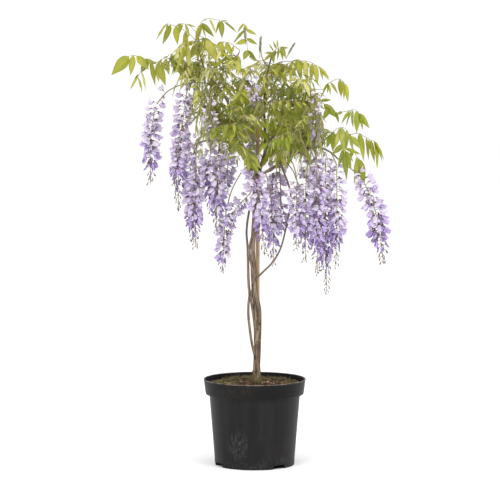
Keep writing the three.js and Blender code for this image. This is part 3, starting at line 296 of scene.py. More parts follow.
# The outermost leaves are drawn one by one on an upright sheet ruled in small squares: columns to the
# right, rows down. A leaf is its shoot, how far back its rib starts and ends in mm, the rib's corners,
# and its leaflets as [root column, root row, tip column, tip row, width].
SQUARE, STEM_COLUMN, TOP_ROW, TOP_HEIGHT = 2.727, 254.7, 19.5, 1214
DRAWN = [
    [1, -18, -22, [[158.5, 61.5], [150, 59.8], [143, 57], [134.5, 54.4], [130, 55.5]], [
        [130, 55.6, 112, 73.5, 9.6], [134.5, 54.5, 131.5, 74, 5.8], [138, 56, 150.5, 68, 6.2],
        [146.5, 58.4, 157.6, 63.6, 3.4], [147, 63, 142, 72, 5.6], [149.6, 66, 155, 84.5, 4],
    ]],
    [1, -18, -50, [[157, 62], [150, 63], [144, 68], [140.5, 73], [139.4, 76]], [
        [140.5, 72.5, 135, 80, 1.5], [139.4, 76.4, 132, 89, 2], [140, 76, 143, 91, 2],
        [143, 70, 147, 89, 2.1],
    ]],
    [1, -18, 6, [[159, 62], [161.5, 59.2], [165, 58], [168, 60]], [
        [165.6, 58.4, 170, 73.6, 4.7], [163, 58.8, 156.6, 65.5, 2.2], [159, 61.6, 158.4, 81, 5.4],
        [161, 64, 165.6, 84.5, 6.8], [162.5, 62, 171, 73, 2.6],
    ]],
    [1, -17, 30, [[167, 62.2], [167.6, 56.5], [171, 53.4], [174, 54]], [
        [171.6, 54, 175.6, 71.8, 3.9], [174, 54, 179, 62, 2], [168, 56, 163.5, 57.4, 1],
    ]],
    [2, -6, -4, [[199, 43], [190, 33.5], [180, 27.5], [171.5, 24.2], [167.5, 23.2]], [
        [167.4, 23.4, 156.4, 40, 1.9], [170.6, 26, 163.4, 43.6, 5.2], [168, 23.4, 167, 31, 1.8],
        [176, 28.5, 177.6, 43.8, 5.2], [184, 32, 186.5, 41.5, 2.4], [183, 37, 186.4, 50, 4.2],
        [190, 35, 181.5, 46, 2.6],
    ]],
    [2, -6, -40, [[199.2, 36], [192.5, 27.2], [187, 24], [181.5, 23.1]], [
        [181.5, 23.6, 176, 27, 1.2], [181, 24, 180, 33.6, 3.6], [184, 24.4, 180, 34, 1.8],
        [186, 25, 190.4, 36.5, 2.5], [187, 24.4, 197, 26.8, 1.5],
    ]],
    [2, -5, 10, [[201, 24.5], [203.6, 20.2], [208, 18.4], [217, 19.3], [224.4, 21.4]], [
        [203.6, 23, 214.6, 36, 4.8], [203, 24, 195, 42, 3.8], [209.4, 19.6, 216.6, 33.4, 1.9],
        [208, 18.6, 202, 21, 1], [220.4, 20.6, 216.4, 33, 2], [221.6, 21, 222, 37.4, 5.2],
        [222, 20.4, 229, 20.8, 1], [224.6, 22, 237.4, 32, 1.9], [202, 30, 206.6, 38, 1.5],
    ]],
    [2, -6, -64, [[199, 43], [201, 38.5], [205, 38], [210, 41]], [
        [203, 37.4, 216, 46.6, 5.8], [201, 41.6, 214, 53, 5], [204.4, 43, 217.6, 61, 7],
        [200, 42.4, 189.6, 58, 6.2], [196, 44, 191, 55, 4.4], [199.6, 44, 198.4, 62, 3.4],
        [202, 48, 203, 66, 3.6],
    ]],
    [2, -6, -52, [[199, 45], [193, 42], [187, 45], [181.5, 47]], [
        [181.4, 46.6, 175.2, 59, 2.4], [181.8, 46.8, 183.4, 56, 1.8], [194.4, 33.6, 189.6, 45, 2.4],
        [187, 46, 184.6, 58, 3.4], [190, 50, 181, 62, 5], [188, 52, 178, 68, 5.4], [192, 52, 190, 68, 5],
    ]],
    [3, -14, -14, [[240, 49.6], [234, 45], [229, 42], [221, 41]], [
        [226, 42, 232.6, 55, 4.7], [233.4, 45, 231.2, 54, 2.8], [228, 45, 223.4, 50.6, 1.8],
        [221, 41, 216.4, 45.6, 1.2], [220, 43.4, 221.6, 57, 5.2], [224, 41, 219, 45, 1.8],
    ]],
    [3, -14, -34, [[240, 50], [236, 55.6], [230, 58], [222, 59.4]], [
        [232, 57.6, 221, 60, 1.8], [229, 59, 232, 67.5, 2.2], [238, 55, 232, 70, 2.8],
        [241, 56, 239.5, 74, 3.4], [224, 60, 214, 66.6, 2.4], [225, 61, 230.6, 70.4, 2.2],
    ]],
    [4, -9, -20, [[262, 60], [254, 59.6], [249, 55], [247.4, 48], [247, 40], [245.6, 29], [244, 23]], [
        [243.6, 23.4, 237, 32, 1.9], [244.4, 23.8, 248, 31, 2.3], [243.8, 28.6, 233, 42.6, 2.4],
        [247, 29, 257, 33.8, 2.7], [245, 39.6, 235.6, 42.6, 4.8], [248, 38.6, 257.6, 43.8, 3.8],
        [249.4, 50, 256.4, 58.6, 3.2], [244, 49.6, 243.6, 59, 4.4], [250, 55, 258.4, 61, 2],
    ]],
    [5, -8, -12, [[272.5, 52], [277, 48], [281, 46]], [
        [275, 48, 272.4, 40, 1.5], [277, 47, 276.8, 38.4, 1.7], [272.4, 50, 268.4, 42.4, 1.3],
        [280, 46.4, 288, 47.2, 1.5], [275, 49, 274.4, 57, 1.9], [279.6, 49, 276.4, 59, 1.9],
        [282, 47.6, 285.6, 57, 3.5], [281.4, 49, 282.6, 60, 2.4], [272, 51, 264, 52, 2],
        [270, 52, 273.4, 63, 3], [268, 53, 263, 61, 3], [265, 50, 265.6, 57, 1.8],
    ]],
    [6, 8, 8, [[285.5, 60.6], [296, 60.4], [305, 60.3], [312, 62.4], [317, 65.6], [320, 69.4]], [
        [291, 61.6, 301, 58.8, 1.4], [297.4, 61.4, 300.6, 79.6, 5.4], [305.5, 60.8, 305.4, 80.4, 5],
        [311.6, 62.4, 311, 81, 4.4], [314.4, 64, 318.4, 83, 4.4], [317, 65.6, 329, 77.8, 2.2],
        [319.6, 69.4, 329, 80, 2.1], [319, 69, 322.4, 79.4, 2],
    ]],
    [6, 8, -44, [[281, 62], [282, 66], [287, 66.6], [292, 68.4]], [
        [282.4, 66, 293, 70.6, 4.2], [291, 67.6, 296, 76, 3.2], [290.4, 69, 290.4, 81.4, 2.7],
        [283, 67, 279, 74, 2], [280, 66, 286, 85, 4.4], [277, 64, 272, 76, 4],
    ]],
    [7, -6, -30, [[327.4, 82.6], [333, 79.4], [337.4, 77.9], [341, 79], [344.4, 82.4]], [
        [330, 82, 337.6, 92.6, 2.6], [338.6, 78.4, 340.6, 95.6, 4.4], [341.6, 79.6, 343.2, 98.4, 2.4],
        [344.2, 82.4, 347.6, 100.6, 3.7], [326, 84, 322, 92, 1.8], [327, 83.6, 327, 92.6, 1.6],
        [328.4, 83.6, 330.2, 94, 1.9],
    ]],
    [7, 10, -8, [
        [319, 98], [327, 106], [336, 111.4], [342, 110.8], [349, 109.4], [354.4, 108.2], [358.4, 112],
    ], [
        [320.6, 100.6, 331, 98.4, 3], [322, 104, 338, 117, 6.4], [336, 111, 338, 122, 3],
        [342, 110.4, 336, 113, 2.4], [349.6, 109.8, 341.4, 122.8, 2.4], [351.6, 109.6, 345.4, 125, 1.9],
        [353, 109, 352.2, 127, 2.7], [355.6, 110, 357.6, 131.4, 4.8], [358.6, 112, 362.4, 128.6, 2.8],
        [358.4, 112, 368.6, 127, 4.8], [328, 108, 322, 118, 4.6],
    ]],
    [8, -20, -60, [[328, 135.6], [334, 128.6], [341, 125.6], [345.6, 128], [349.4, 134]], [
        [333, 129.6, 332, 149.6, 5.2], [339.6, 127, 334.6, 146.6, 4.4], [341.4, 127, 343.4, 151, 5.2],
        [345.6, 128.6, 345, 148, 3.8], [347.4, 131, 351.4, 148, 2.8], [349.2, 134, 361, 146.6, 4.4],
        [331, 132, 326, 146, 4.6],
    ]],
    [8, -22, -30, [[341, 132.4], [342, 140], [344, 147], [346, 152]], [
        [344, 148, 346, 178, 5.8], [346, 152, 350, 168, 3.6], [343, 146, 338.6, 167, 3.4],
        [342, 143, 331, 153, 4.6], [345, 149, 353, 160, 2.2], [344, 147, 360.6, 152.6, 2.6],
    ]],
    [8, -20, -18, [[351, 132.8], [357.4, 131.6], [363, 134.6], [368.6, 137.8], [373, 139.2]], [
        [360, 132.6, 363, 158.6, 5.4], [358.6, 132.4, 360.4, 147, 4], [365, 136.4, 367.6, 158.6, 2.8],
        [368.4, 138, 367, 151, 3.2], [370.6, 138.6, 372.6, 160.6, 4.4], [374, 142, 376.6, 166.6, 3.2],
        [373, 139.4, 383, 158, 1.9], [373.6, 140, 382, 160.6, 1.9],
    ]],
    [8, -20, 10, [[350, 133], [352, 145], [356, 154.4], [358.4, 157.4]], [
        [356.4, 155, 354.6, 181, 4.4], [358.4, 157.4, 363.6, 182, 6.4], [353, 147, 349, 160, 3],
    ]],
    [4, 10, -80, [[264.5, 140], [262, 128], [257, 122], [252, 126]], [
        [262, 128, 268, 142, 4], [259, 123.5, 262, 139, 4.2], [256, 122.5, 248, 137, 4.6],
        [252, 126, 246, 141, 4.2], [254, 124, 255, 142, 4],
    ]],
    [5, 10, -90, [[266, 142], [272, 124], [279, 120], [286, 126], [289, 132]], [
        [272, 125, 268, 139, 4], [275, 121.5, 276, 137, 4.4], [280, 120.4, 289, 134, 4.4],
        [283, 123, 281, 140, 4.6], [287, 128, 290, 146, 4.4], [289, 132, 297, 145, 4],
    ]],
    [4, -98, -140, [[253.2, 148.3], [250, 144], [249, 150], [252, 158]], [
        [250, 145, 242, 155, 4.4], [249, 148, 244, 163, 4.4], [249.5, 151, 249, 168, 4.6],
        [251, 155, 257, 169, 4.4], [252, 158, 259, 168, 3.6], [250, 146, 259, 157, 4.6],
        [250, 150, 262, 164, 4.4],
    ]],
    [5, 10, -70, [[268, 160], [268, 150], [272, 144], [278, 146], [281, 152]], [
        [268, 151, 264, 165, 4], [270, 146, 272, 161, 4.4], [274, 144.6, 280, 158, 4.4],
        [279, 148, 277, 165, 4], [281, 152, 286, 166, 4.2],
    ]],
    [6, 0, -60, [[287, 162], [290, 148], [296, 138], [301, 140], [304, 146]], [
        [291, 147, 287, 160, 4.2], [294, 141, 295, 157, 4.4], [298, 138.6, 303, 153, 4.4],
        [301, 141, 300, 158, 4], [304, 146, 309, 160, 4.2],
    ]],
    [3, -14, -60, [[240, 92], [238, 84], [234, 82], [231, 86]], [
        [239, 86, 246, 98, 4.6], [238.4, 84, 241, 99, 4.6], [239.4, 88, 236, 100, 4.2],
        [234, 82, 241, 87, 3.4], [232, 84, 235, 93, 2.6],
    ]],
    [3, -14, -60, [[238, 106], [240, 97], [245, 95], [249, 100]], [
        [239, 99, 234, 112, 4.4], [241, 96.6, 241, 112, 4.6], [245, 95, 250, 109, 4.6],
        [248, 98, 246, 114, 4.4], [249, 100, 256, 110, 4],
    ]],
    [2, -6, -50, [[203, 74], [200, 67], [194, 66], [189, 70]], [
        [201, 69, 206, 82, 3.6], [198, 66.6, 199, 82, 4], [194, 66, 190, 80, 3.8], [190, 69, 182, 79, 3.4],
        [189, 70, 187, 84, 3],
    ]],
]
# Furled tips of shoots, silky and upright: [shoot, foot, tip, how far back].
FURLED = [
    [4, (259.6, 57), (260.6, 37), -10], [5, (285.4, 58), (294, 43.2), -12], [2, (246, 44), (244.4, 28), -20],
]
# Soft young leaves that hang straight down from a branch: [shoot, top, foot, how far back each of them is].
HANGING = [
    [1, (208.4, 74.6), (204, 128), -12, -40], [1, (212, 79), (213, 134), -13, -34],
    [1, (216.4, 83.4), (209, 122), -16, -60], [1, (202.4, 76.4), (197.4, 124), -14, -60],
    [1, (205.6, 80), (201, 146), -14, -70], [1, (195, 80.4), (193, 112), -14, -30],
    [1, (220, 88), (218, 136), -18, -66], [2, (203, 62), (208, 96), -8, -40],
    [2, (202, 64), (196, 98), -8, -30], [7, (304, 104), (303, 152), 18, -40],
    [7, (310, 102.4), (313, 158), 14, -50], [7, (317, 101), (320, 150), 8, -30],
    [7, (299, 106), (294, 142), 20, -50], [7, (307, 103), (308, 168), 16, -30],
    [7, (315, 101.4), (326, 160), 10, -10], [7, (301, 105), (299, 170), 18, -20],
    [5, (262, 70), (258, 102), 4, -50], [5, (270, 66), (276, 104), 0, -40],
    [1, (211.4, 93.5), (206, 132), -92, -152], [1, (211.4, 93.5), (214, 142), -92, -156],
    [1, (211, 95), (220, 130), -92, -150], [7, (312, 95), (308, 136), -46, -105],
    [7, (315.6, 101.5), (317, 146), -66, -110], [7, (314, 98), (323, 132), -56, -100],
]

# ---- small tools -----------------------------------------------------------------------------------

UP = np.array([0.0, 0.0, 1.0])


def unit(v):
    """A vector, or each of many, at length 1."""
    return v / np.linalg.norm(v, axis=-1, keepdims=True)


def mix(low, high, share):
    """What lies at a share of the way from low to high."""
    return low + (high - low) * share


def full_turn(sides):
    """Angles spread evenly round a full turn."""
    return np.arange(sides) / sides * 2 * math.pi


class Draw:
    """A repeatable random sequence, the same one that grows the solid leaves."""

    def __init__(self, seed):
        self.state = seed

    def __call__(self, low, high):
        self.state = (self.state * 1664525 + 1013904223) & 0xFFFFFFFF
        return low + (high - low) * self.state / 4294967296


def smooth(points, per_span):
    """Points along a smooth curve through the given ones."""
    p = np.array(points, float)
    p = np.vstack([2 * p[0] - p[1], p, 2 * p[-1] - p[-2]])
    t = np.arange(per_span)[:, None] / per_span
    spans = []
    for a, b, c, d in zip(p, p[1:], p[2:], p[3:]):
        start, end, gap = (c - a) / 2, (d - b) / 2, c - b
        spans.append(b + start * t + (3 * gap - 2 * start - end) * t**2 + (start + end - 2 * gap) * t**3)
    return np.vstack(spans + [p[-2:-1]])


def lengths(path):
    """The lengths from the first point of a path to each of its points, which may have a radius too."""
    return np.concatenate([[0], np.cumsum(np.linalg.norm(np.diff(path[:, :3], axis=0), axis=1))])


def spread_along(path, wanted):
    """The points at the wanted lengths along a path."""
    run = lengths(path)
    return np.stack([np.interp(wanted, run, path[:, k]) for k in range(path.shape[1])], -1)


def point_at(path, share):
    """The point of a path at a share of its length."""
    return spread_along(path, share * lengths(path)[-1])


def sideways(path):
    """For each point of a path two vectors across it, turned as little as possible."""
    ahead = np.vstack([path[1:], path[-1:]])
    behind = np.vstack([path[:1], path[:-1]])
    tangents = unit(ahead - behind)
    across = np.array([1.0, 0, 0]) if abs(tangents[0][2]) > 0.9 else UP
    sides = []
    for tangent in tangents:
        across = unit(across - tangent * across.dot(tangent))
        sides.append(across)
    return np.array(sides), np.cross(tangents, sides)


def waves(random, count, low, high):
    """A smooth random function of an angle and a length: sines with a whole number of turns each."""
    turns = random.randint(low, high + 1, count)
    paces = random.uniform(-1, 1, count)
    starts = random.uniform(0, 2 * math.pi, count)
    return lambda angle, run: sum(
        np.sin(turn * angle + pace * run + start) for turn, pace, start in zip(turns, paces, starts)
    ) / math.sqrt(count)


# ---- meshes ----------------------------------------------------------------------------------------


class Piece:
    """What one object is made of: points in mm, triangles, the finish of each triangle, and at each point
    three numbers that the finishes read as its grain."""

    def __init__(self, name):
        self.name, self.count = name, 0
        self.points, self.faces, self.worn, self.grain, self.finishes = [], [], [], [], []

    def add(self, points, faces, grain, finish):
        """Adds one sheet, or as many as points has along its first axis, all with the same faces."""
        points = points.reshape((-1,) + points.shape[-2:])
        many, each = points.shape[:2]
        if finish not in self.finishes:
            self.finishes.append(finish)
        shifts = self.count + np.arange(many)[:, None, None] * each
        self.points.append(points.reshape(-1, 3))
        self.faces.append((faces + shifts).reshape(-1, 3))
        self.worn.append(np.full(many * len(faces), self.finishes.index(finish)))
        self.grain.append(np.broadcast_to(grain, points.shape).reshape(-1, 3))
        self.count += many * each

    def tube(self, path, radii, sides, finish, ridges=None):
        """A closed tube. Its grain is the point across the tube, unrolled, and the length along it."""
        across, beside = sideways(path)
        run = lengths(path)[:, None]
        angle = full_turn(sides)
        radius = np.reshape(radii, (-1, 1)) * np.ones(sides)
        if ridges is not None:
            radius = radius * (1 + ridges(angle, run))
        way = across[:, None] * np.cos(angle)[:, None] + beside[:, None] * np.sin(angle)[:, None]
        rings = path[:, None] + way * radius[..., None]
        points = np.vstack([rings.reshape(-1, 3), path[:1], path[-1:]])
        flat = np.stack([np.cos(angle) * radius, np.sin(angle) * radius, run + 0 * radius], -1).reshape(-1, 3)
        grain = np.vstack([flat, [[0, 0, run[0, 0]]], [[0, 0, run[-1, 0]]]])
        self.add(points, capped_faces(len(path), sides), grain, finish)

    def made(self, slot, *nodes, **marks):
        """Makes the object, in place of its solid nodes. A mark is one more number at each point, by name."""
        points, faces = np.concatenate(self.points) * MM, np.concatenate(self.faces)
        mesh = bpy.data.meshes.new(self.name)
        mesh.vertices.add(len(points))
        mesh.vertices.foreach_set("co", points.ravel())
        mesh.loops.add(faces.size)
        mesh.loops.foreach_set("vertex_index", faces.ravel().astype(np.int32))
        mesh.polygons.add(len(faces))
        mesh.polygons.foreach_set("loop_start", np.arange(0, faces.size, 3, dtype=np.int32))
        mesh.polygons.foreach_set("material_index", np.concatenate(self.worn).astype(np.int32))
        mesh.polygons.foreach_set("use_smooth", np.ones(len(faces), bool))
        grain = mesh.attributes.new("grain", "FLOAT_VECTOR", "POINT")
        grain.data.foreach_set("vector", np.concatenate(self.grain).ravel())
        for name, values in marks.items():
            mesh.attributes.new(name, "FLOAT", "POINT").data.foreach_set("value", values)
        for finish in self.finishes:
            mesh.materials.append(finish.material)
        mesh.update(calc_edges=True)
        thing = bpy.data.objects.new(self.name, mesh)
        bpy.context.scene.collection.objects.link(thing)
        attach(thing, "root")
        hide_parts(*nodes)
        return thing


def grid_faces(rows, columns, closed=False):
    """The triangles of a sheet of rows, whose last column joins the first where it is closed."""
    at = np.arange(rows * columns).reshape(rows, columns)
    if closed:
        at = np.hstack([at, at[:, :1]])
    a, b, c, d = at[:-1, :-1], at[:-1, 1:], at[1:, 1:], at[1:, :-1]
    return np.concatenate([np.stack([a, b, c], -1).reshape(-1, 3), np.stack([a, c, d], -1).reshape(-1, 3)])


def capped_faces(rows, sides):
    """The triangles of a tube of rings, whose points the middles of its first and last ring follow."""
    first, middle = np.arange(sides), np.full(sides, rows * sides)
    after, last = np.roll(first, -1), (rows - 1) * sides
    caps = [np.stack([after, first, middle], 1), np.stack([last + first, last + after, middle + 1], 1)]
    return np.concatenate([grid_faces(rows, sides, True)] + caps)


def grid_marks(rows, columns):
    """How far along, 0 to 1, and how far across, -1 to 1, each point of a sheet lies."""
    along, across = np.meshgrid(np.linspace(0, 1, rows), np.linspace(-1, 1, columns), indexing="ij")
    return along.ravel(), across.ravel()


# ---- finishes --------------------------------------------------------------------------------------

ACROSS, ALONG, TONE = range(3)  # what the grain's three numbers are on blades, petals and crumbs


def paint(red, green, blue):
    """A colour as it looks on a screen, 0 to 255, as the numbers that a shader takes."""
    shares = [c / 255 for c in (red, green, blue)]
    return tuple(s / 12.92 if s <= 0.04045 else ((s + 0.055) / 1.055) ** 2.4 for s in shares) + (1,)


class Wire:
    """A number that changes over a surface. Reckoning with it adds the nodes for that to its finish."""

    def __init__(self, finish, socket):
        self.finish, self.socket = finish, socket

    def maths(self, operation, *values):
        return self.finish.node("ShaderNodeMath", {"operation": operation}, dict(enumerate(values)))

    def __add__(self, other):
        return self.maths("ADD", self, other)

    def __sub__(self, other):
        return self.maths("SUBTRACT", self, other)

    def __rsub__(self, other):
        return self.maths("SUBTRACT", other, self)

    def __mul__(self, other):
        return self.maths("MULTIPLY", self, other)

    def __truediv__(self, other):
        return self.maths("DIVIDE", self, other)

    def __rtruediv__(self, other):
        return self.maths("DIVIDE", other, self)

    __radd__, __rmul__ = __add__, __mul__

    def __abs__(self):
        return self.maths("ABSOLUTE", self)

    def sine(self):
        return self.maths("SINE", self)

    def between(self, low, high):
        """0 at low, 1 at high and smooth between them."""
        settings = {"interpolation_type": "SMOOTHSTEP"}
        return self.finish.node("ShaderNodeMapRange", settings, {0: self, 1: low, 2: high})


class Finish:
    """A material and the nodes that make it."""

    def __init__(self, name):
        self.material = bpy.data.materials.new(name)
        self.material.use_nodes = True
        self.tree = self.material.node_tree
        self.tree.nodes.clear()

    def node(self, kind, settings=None, values=None, output=0):
        """Adds a node, sets it up, fills its sockets with numbers or wires and gives one of its outputs."""
        node = self.tree.nodes.new(kind)
        for name, value in (settings or {}).items():
            if name == "stops":
                self.set_stops(node.color_ramp, value)
            else:
                setattr(node, name, value)
        for key, value in (values or {}).items():
            if isinstance(value, Wire):
                self.tree.links.new(value.socket, node.inputs[key])
            else:
                node.inputs[key].default_value = value
        return Wire(self, node.outputs[output])

    @staticmethod
    def set_stops(ramp, stops):
        while len(ramp.elements) < len(stops):
            ramp.elements.new(1)
        for element, (place, colour) in zip(ramp.elements, stops):
            element.position, element.color = place, colour

    def grain(self, *axes):
        """The grain's numbers on the given axes, or the grain as a vector where none is given."""
        vector = self.node("ShaderNodeAttribute", {"attribute_name": "grain"}, output="Vector")
        return [self.part(vector, axis) for axis in axes] or vector

    def mark(self, name):
        """A number that the mesh holds at each point."""
        return self.node("ShaderNodeAttribute", {"attribute_name": name}, output="Fac")

    def place(self):
        """Where a point is on the whole object, in metres."""
        return self.node("ShaderNodeTexCoord", output="Object")

    def part(self, vector, axis):
        """One of a vector's three numbers."""
        return self.node("ShaderNodeSeparateXYZ", None, {0: vector}, output=axis)

    def stretched(self, vector, scale):
        return self.node("ShaderNodeVectorMath", {"operation": "MULTIPLY"}, {0: vector, 1: scale})

    def noise(self, vector, scale, detail=3, roughness=0.5, distortion=0):
        values = {"Vector": vector, "Scale": scale, "Detail": detail, "Roughness": roughness}
        return self.node("ShaderNodeTexNoise", None, values | {"Distortion": distortion})

    def cells(self, vector, scale):
        return self.node("ShaderNodeTexVoronoi", None, {"Vector": vector, "Scale": scale})

    def ramp(self, value, *stops):
        """Colours by a number; a stop is the number's value and its colour."""
        return self.node("ShaderNodeValToRGB", {"stops": stops}, {0: value})

    def blend(self, share, under, over):
        """One colour over another by a share."""
        return self.node("ShaderNodeMix", {"data_type": "RGBA"}, {0: share, 6: under, 7: over}, output=2)

    def bump(self, height, strength, distance):
        values = {"Height": height, "Strength": strength, "Distance": distance}
        return self.node("ShaderNodeBump", None, values)

    def solid(self, values):
        """Ends the finish with a plain surface."""
        self.end(self.node("ShaderNodeBsdfPrincipled", None, values))
        return self

    def thin(self, values, light, share):
        """Ends the finish with a thin sheet that lets some light through, in a colour of its own."""
        front = self.node("ShaderNodeBsdfPrincipled", None, values)
        through = self.node("ShaderNodeBsdfTranslucent", None, {"Color": light})
        self.end(self.node("ShaderNodeMixShader", None, {0: share, 1: front, 2: through}))
        return self

    def end(self, surface):
        last = self.tree.nodes.new("ShaderNodeOutputMaterial")
        self.tree.links.new(surface.socket, last.inputs["Surface"])


def plastic_finish():
    """Black nursery plastic: matt, darker on the collar, dusty at the foot and in a rubbed patch low on the
    front, worn and dusty at the lip, whose pale top edge is partly a painted highlight."""
    made = Finish("nursery_plastic")
    place = made.place()
    height = made.part(place, 2)
    streaks = made.noise(made.stretched(place, (1, 1, 0.12)), 46, 4)
    scuffs = made.noise(made.stretched(place, (1, 1, 0.4)), 190, 5, 0.7, 0.4)
    patch = made.noise(place, 9, 3)
    fine = made.noise(place, 900, 2)
    aside = (made.part(place, 0) - RUBBED[0]) / RUBBED_HALF[0]
    above = (height - RUBBED[1]) / RUBBED_HALF[1]
    front = 1 - made.part(place, 1).between(-0.07, -0.03)
    rubbed = (1 - (aside * aside + above * above).between(0, 1)) * front
    foot = 1 - height.between(0, 0.05)
    dusty = rubbed * 0.5 + foot * 0.3 + patch.between(0.5, 0.7) * 0.24
    dust = (scuffs.between(0.36, 0.7) * dusty).between(0, 1)
    # a pale, broken line along the top of the lip: worn, dusty plastic and partly a painted highlight
    lip = height.between((POT_HEIGHT - 1.8) * MM, (POT_HEIGHT - 0.6) * MM)
    worn = lip * made.noise(place, 60, 4).between(0.3, 0.62)
    turning = {"Vector": place, "Scale": 60, "Distortion": 1.5}
    rings = made.node("ShaderNodeTexWave", {"bands_direction": "Z"}, turning)
    colour = made.blend(streaks.between(0.3, 0.75), paint(22, 22, 23), paint(31, 31, 31))
    collar = height.between((LEDGE - 2) * MM, (LEDGE + 1) * MM)
    colour = made.blend(collar * 0.75, colour, paint(9, 9, 10))
    colour = made.blend(patch.between(0.45, 0.7) * 0.2, colour, paint(44, 36, 30))
    colour = made.blend(dust, colour, paint(92, 92, 91))
    colour = made.blend(worn * 0.65, colour, paint(148, 138, 122))
    bumps = fine * 0.25 + scuffs * 0.3 + rings * 0.05
    rough = 0.4 + streaks * 0.12 + dust * 0.3
    values = {"Base Color": colour, "Roughness": rough, "Specular IOR Level": 0.13}
    return made.solid(values | {"Normal": made.bump(bumps, 0.25, 0.0008)})


def soil_finish():
    """Brown potting soil: crumbs and clods, darker where it is damp."""
    made = Finish("potting_soil")
    place = made.place()
    crumbs = made.cells(place, 330)
    clods = made.noise(place, 60, 6, 0.7)
    damp = made.noise(place, 14, 2)
    colour = made.ramp(
        clods, (0.32, paint(28, 19, 13)), (0.5, paint(66, 47, 32)), (0.62, paint(108, 80, 56)),
        (0.76, paint(160, 128, 94)),
    )
    colour = made.blend(damp.between(0.4, 0.7) * 0.5, colour, paint(28, 20, 13))
    values = {"Base Color": colour, "Roughness": 0.95, "Specular IOR Level": 0.25}
    return made.solid(values | {"Normal": made.bump(crumbs * 0.6 + clods, 0.9, 0.003)})


def chip_finish():
    """Bits of bark and wood in the soil: red-brown, buff or grey by their tone."""
    made = Finish("bark_chips")
    (tone,) = made.grain(TONE)
    fibres = made.noise(made.stretched(made.place(), (1, 0.3, 1)), 420, 4)
    colour = made.ramp(
        tone, (0, paint(52, 34, 26)), (0.35, paint(104, 62, 44)), (0.6, paint(126, 92, 64)),
        (0.85, paint(160, 138, 110)), (1, paint(214, 172, 146)),
    )
    colour = made.blend(fibres.between(0.4, 0.7) * 0.5, colour, paint(48, 36, 28))
    return made.solid({"Base Color": colour, "Roughness": 0.85, "Normal": made.bump(fibres, 0.6, 0.001)})


def moss_finish():
    """Moss: dark at the foot of each blade and yellow-green at its tip, some of it dry."""
    made = Finish("moss")
    along, tone = made.grain(ALONG, TONE)
    patches = made.noise(made.place(), 90, 3)
    colour = made.ramp(along, (0, paint(46, 46, 22)), (0.5, paint(98, 98, 48)), (1, paint(164, 160, 104)))
    colour = made.blend(tone * patches.between(0.3, 0.7), colour, paint(150, 140, 92))
    return made.thin({"Base Color": colour, "Roughness": 0.8}, paint(128, 130, 62), 0.25)


def cane_finish():
    """Bamboo: straw-coloured, with fine fibres and weathered in places."""
    made = Finish("bamboo")
    grain = made.grain()
    fibres = made.noise(made.stretched(grain, (1, 1, 0.02)), 2.2, 3)
    stains = made.noise(made.stretched(grain, (1, 1, 0.1)), 0.25, 4)
    colour = made.ramp(
        fibres, (0.3, paint(148, 118, 84)), (0.5, paint(180, 149, 110)), (0.7, paint(202, 173, 136))
    )
    colour = made.blend(stains.between(0.52, 0.7) * 0.7, colour, paint(128, 98, 66))
    rough = 0.45 + stains * 0.25
    return made.solid({"Base Color": colour, "Roughness": rough, "Normal": made.bump(fibres, 0.3, 0.0006)})


def bark_finish():
    """Grey-brown bark streaked lengthwise: dark furrows, pale ridges and pores, grey on thin stems, mossy
    near the soil, dark at its scars, and darkened with painted shade where it meets another stem or the cane."""
    made = Finish("wisteria_bark")
    grain = made.grain()
    x, y = made.grain(0, 1)
    place = made.place()
    height = made.part(place, 2)
    streaks = made.noise(made.stretched(grain, (1, 1, 0.09)), 0.24, 5, 0.62, 0.7)
    furrows = made.noise(made.stretched(grain, (1, 1, 0.05)), 0.62, 4, 0.6, 0.5)
    fibres = made.noise(made.stretched(grain, (1, 1, 0.08)), 2.4, 3)
    patches = made.noise(place, 22, 3)
    pores = made.cells(made.stretched(grain, (1, 1, 0.4)), 0.5)
    colour = made.ramp(
        streaks, (0.34, paint(60, 45, 34)), (0.45, paint(112, 90, 68)), (0.54, paint(150, 128, 102)),
        (0.68, paint(198, 182, 156)),
    )
    colour = made.blend(patches.between(0.45, 0.75) * 0.5, colour, paint(134, 100, 70))
    colour = made.blend(fibres.between(0.5, 0.72) * 0.4, colour, paint(74, 56, 44))
    colour = made.blend(furrows.between(0.52, 0.6) * 0.85, colour, paint(40, 29, 22))
    colour = made.blend((1 - pores.between(0.1, 0.2)) * 0.4, colour, paint(190, 172, 146))
    slim = 1 - (x * x + y * y).between(6, 22)
    colour = made.blend(slim * 0.5, colour, paint(112, 103, 94))
    green = (1 - height.between(0.235, 0.285)) * patches.between(0.45, 0.62)
    colour = made.blend(green * 0.6, colour, paint(112, 112, 58))
    # painted shade in the crevices where stems touch one another or the cane, and the dark scars
    dark = (made.mark("shelter") + streaks * 0.3 - 0.15).between(0.25, 0.95)
    colour = made.blend(dark * 0.85, colour, paint(38, 28, 22))
    bumps = streaks * 1.4 + furrows * -1.1 + fibres * 0.3 + pores * 0.12
    return made.solid({"Base Color": colour, "Roughness": 0.82, "Normal": made.bump(bumps, 0.9, 0.002)})


def stalk_finish():
    """Green to brown skin of the season's growth: shoots, leaf ribs and flower stalks."""
    made = Finish("green_stalk")
    streaks = made.noise(made.stretched(made.grain(), (1, 1, 0.1)), 1.2, 3)
    patches = made.noise(made.place(), 30, 3)
    colour = made.ramp(
        streaks, (0.3, paint(104, 104, 52)), (0.55, paint(138, 134, 76)), (0.75, paint(164, 156, 104))
    )
    colour = made.blend(patches.between(0.42, 0.66) * 0.75, colour, paint(118, 88, 62))
    return made.solid({"Base Color": colour, "Roughness": 0.6, "Normal": made.bump(streaks, 0.3, 0.0005)})


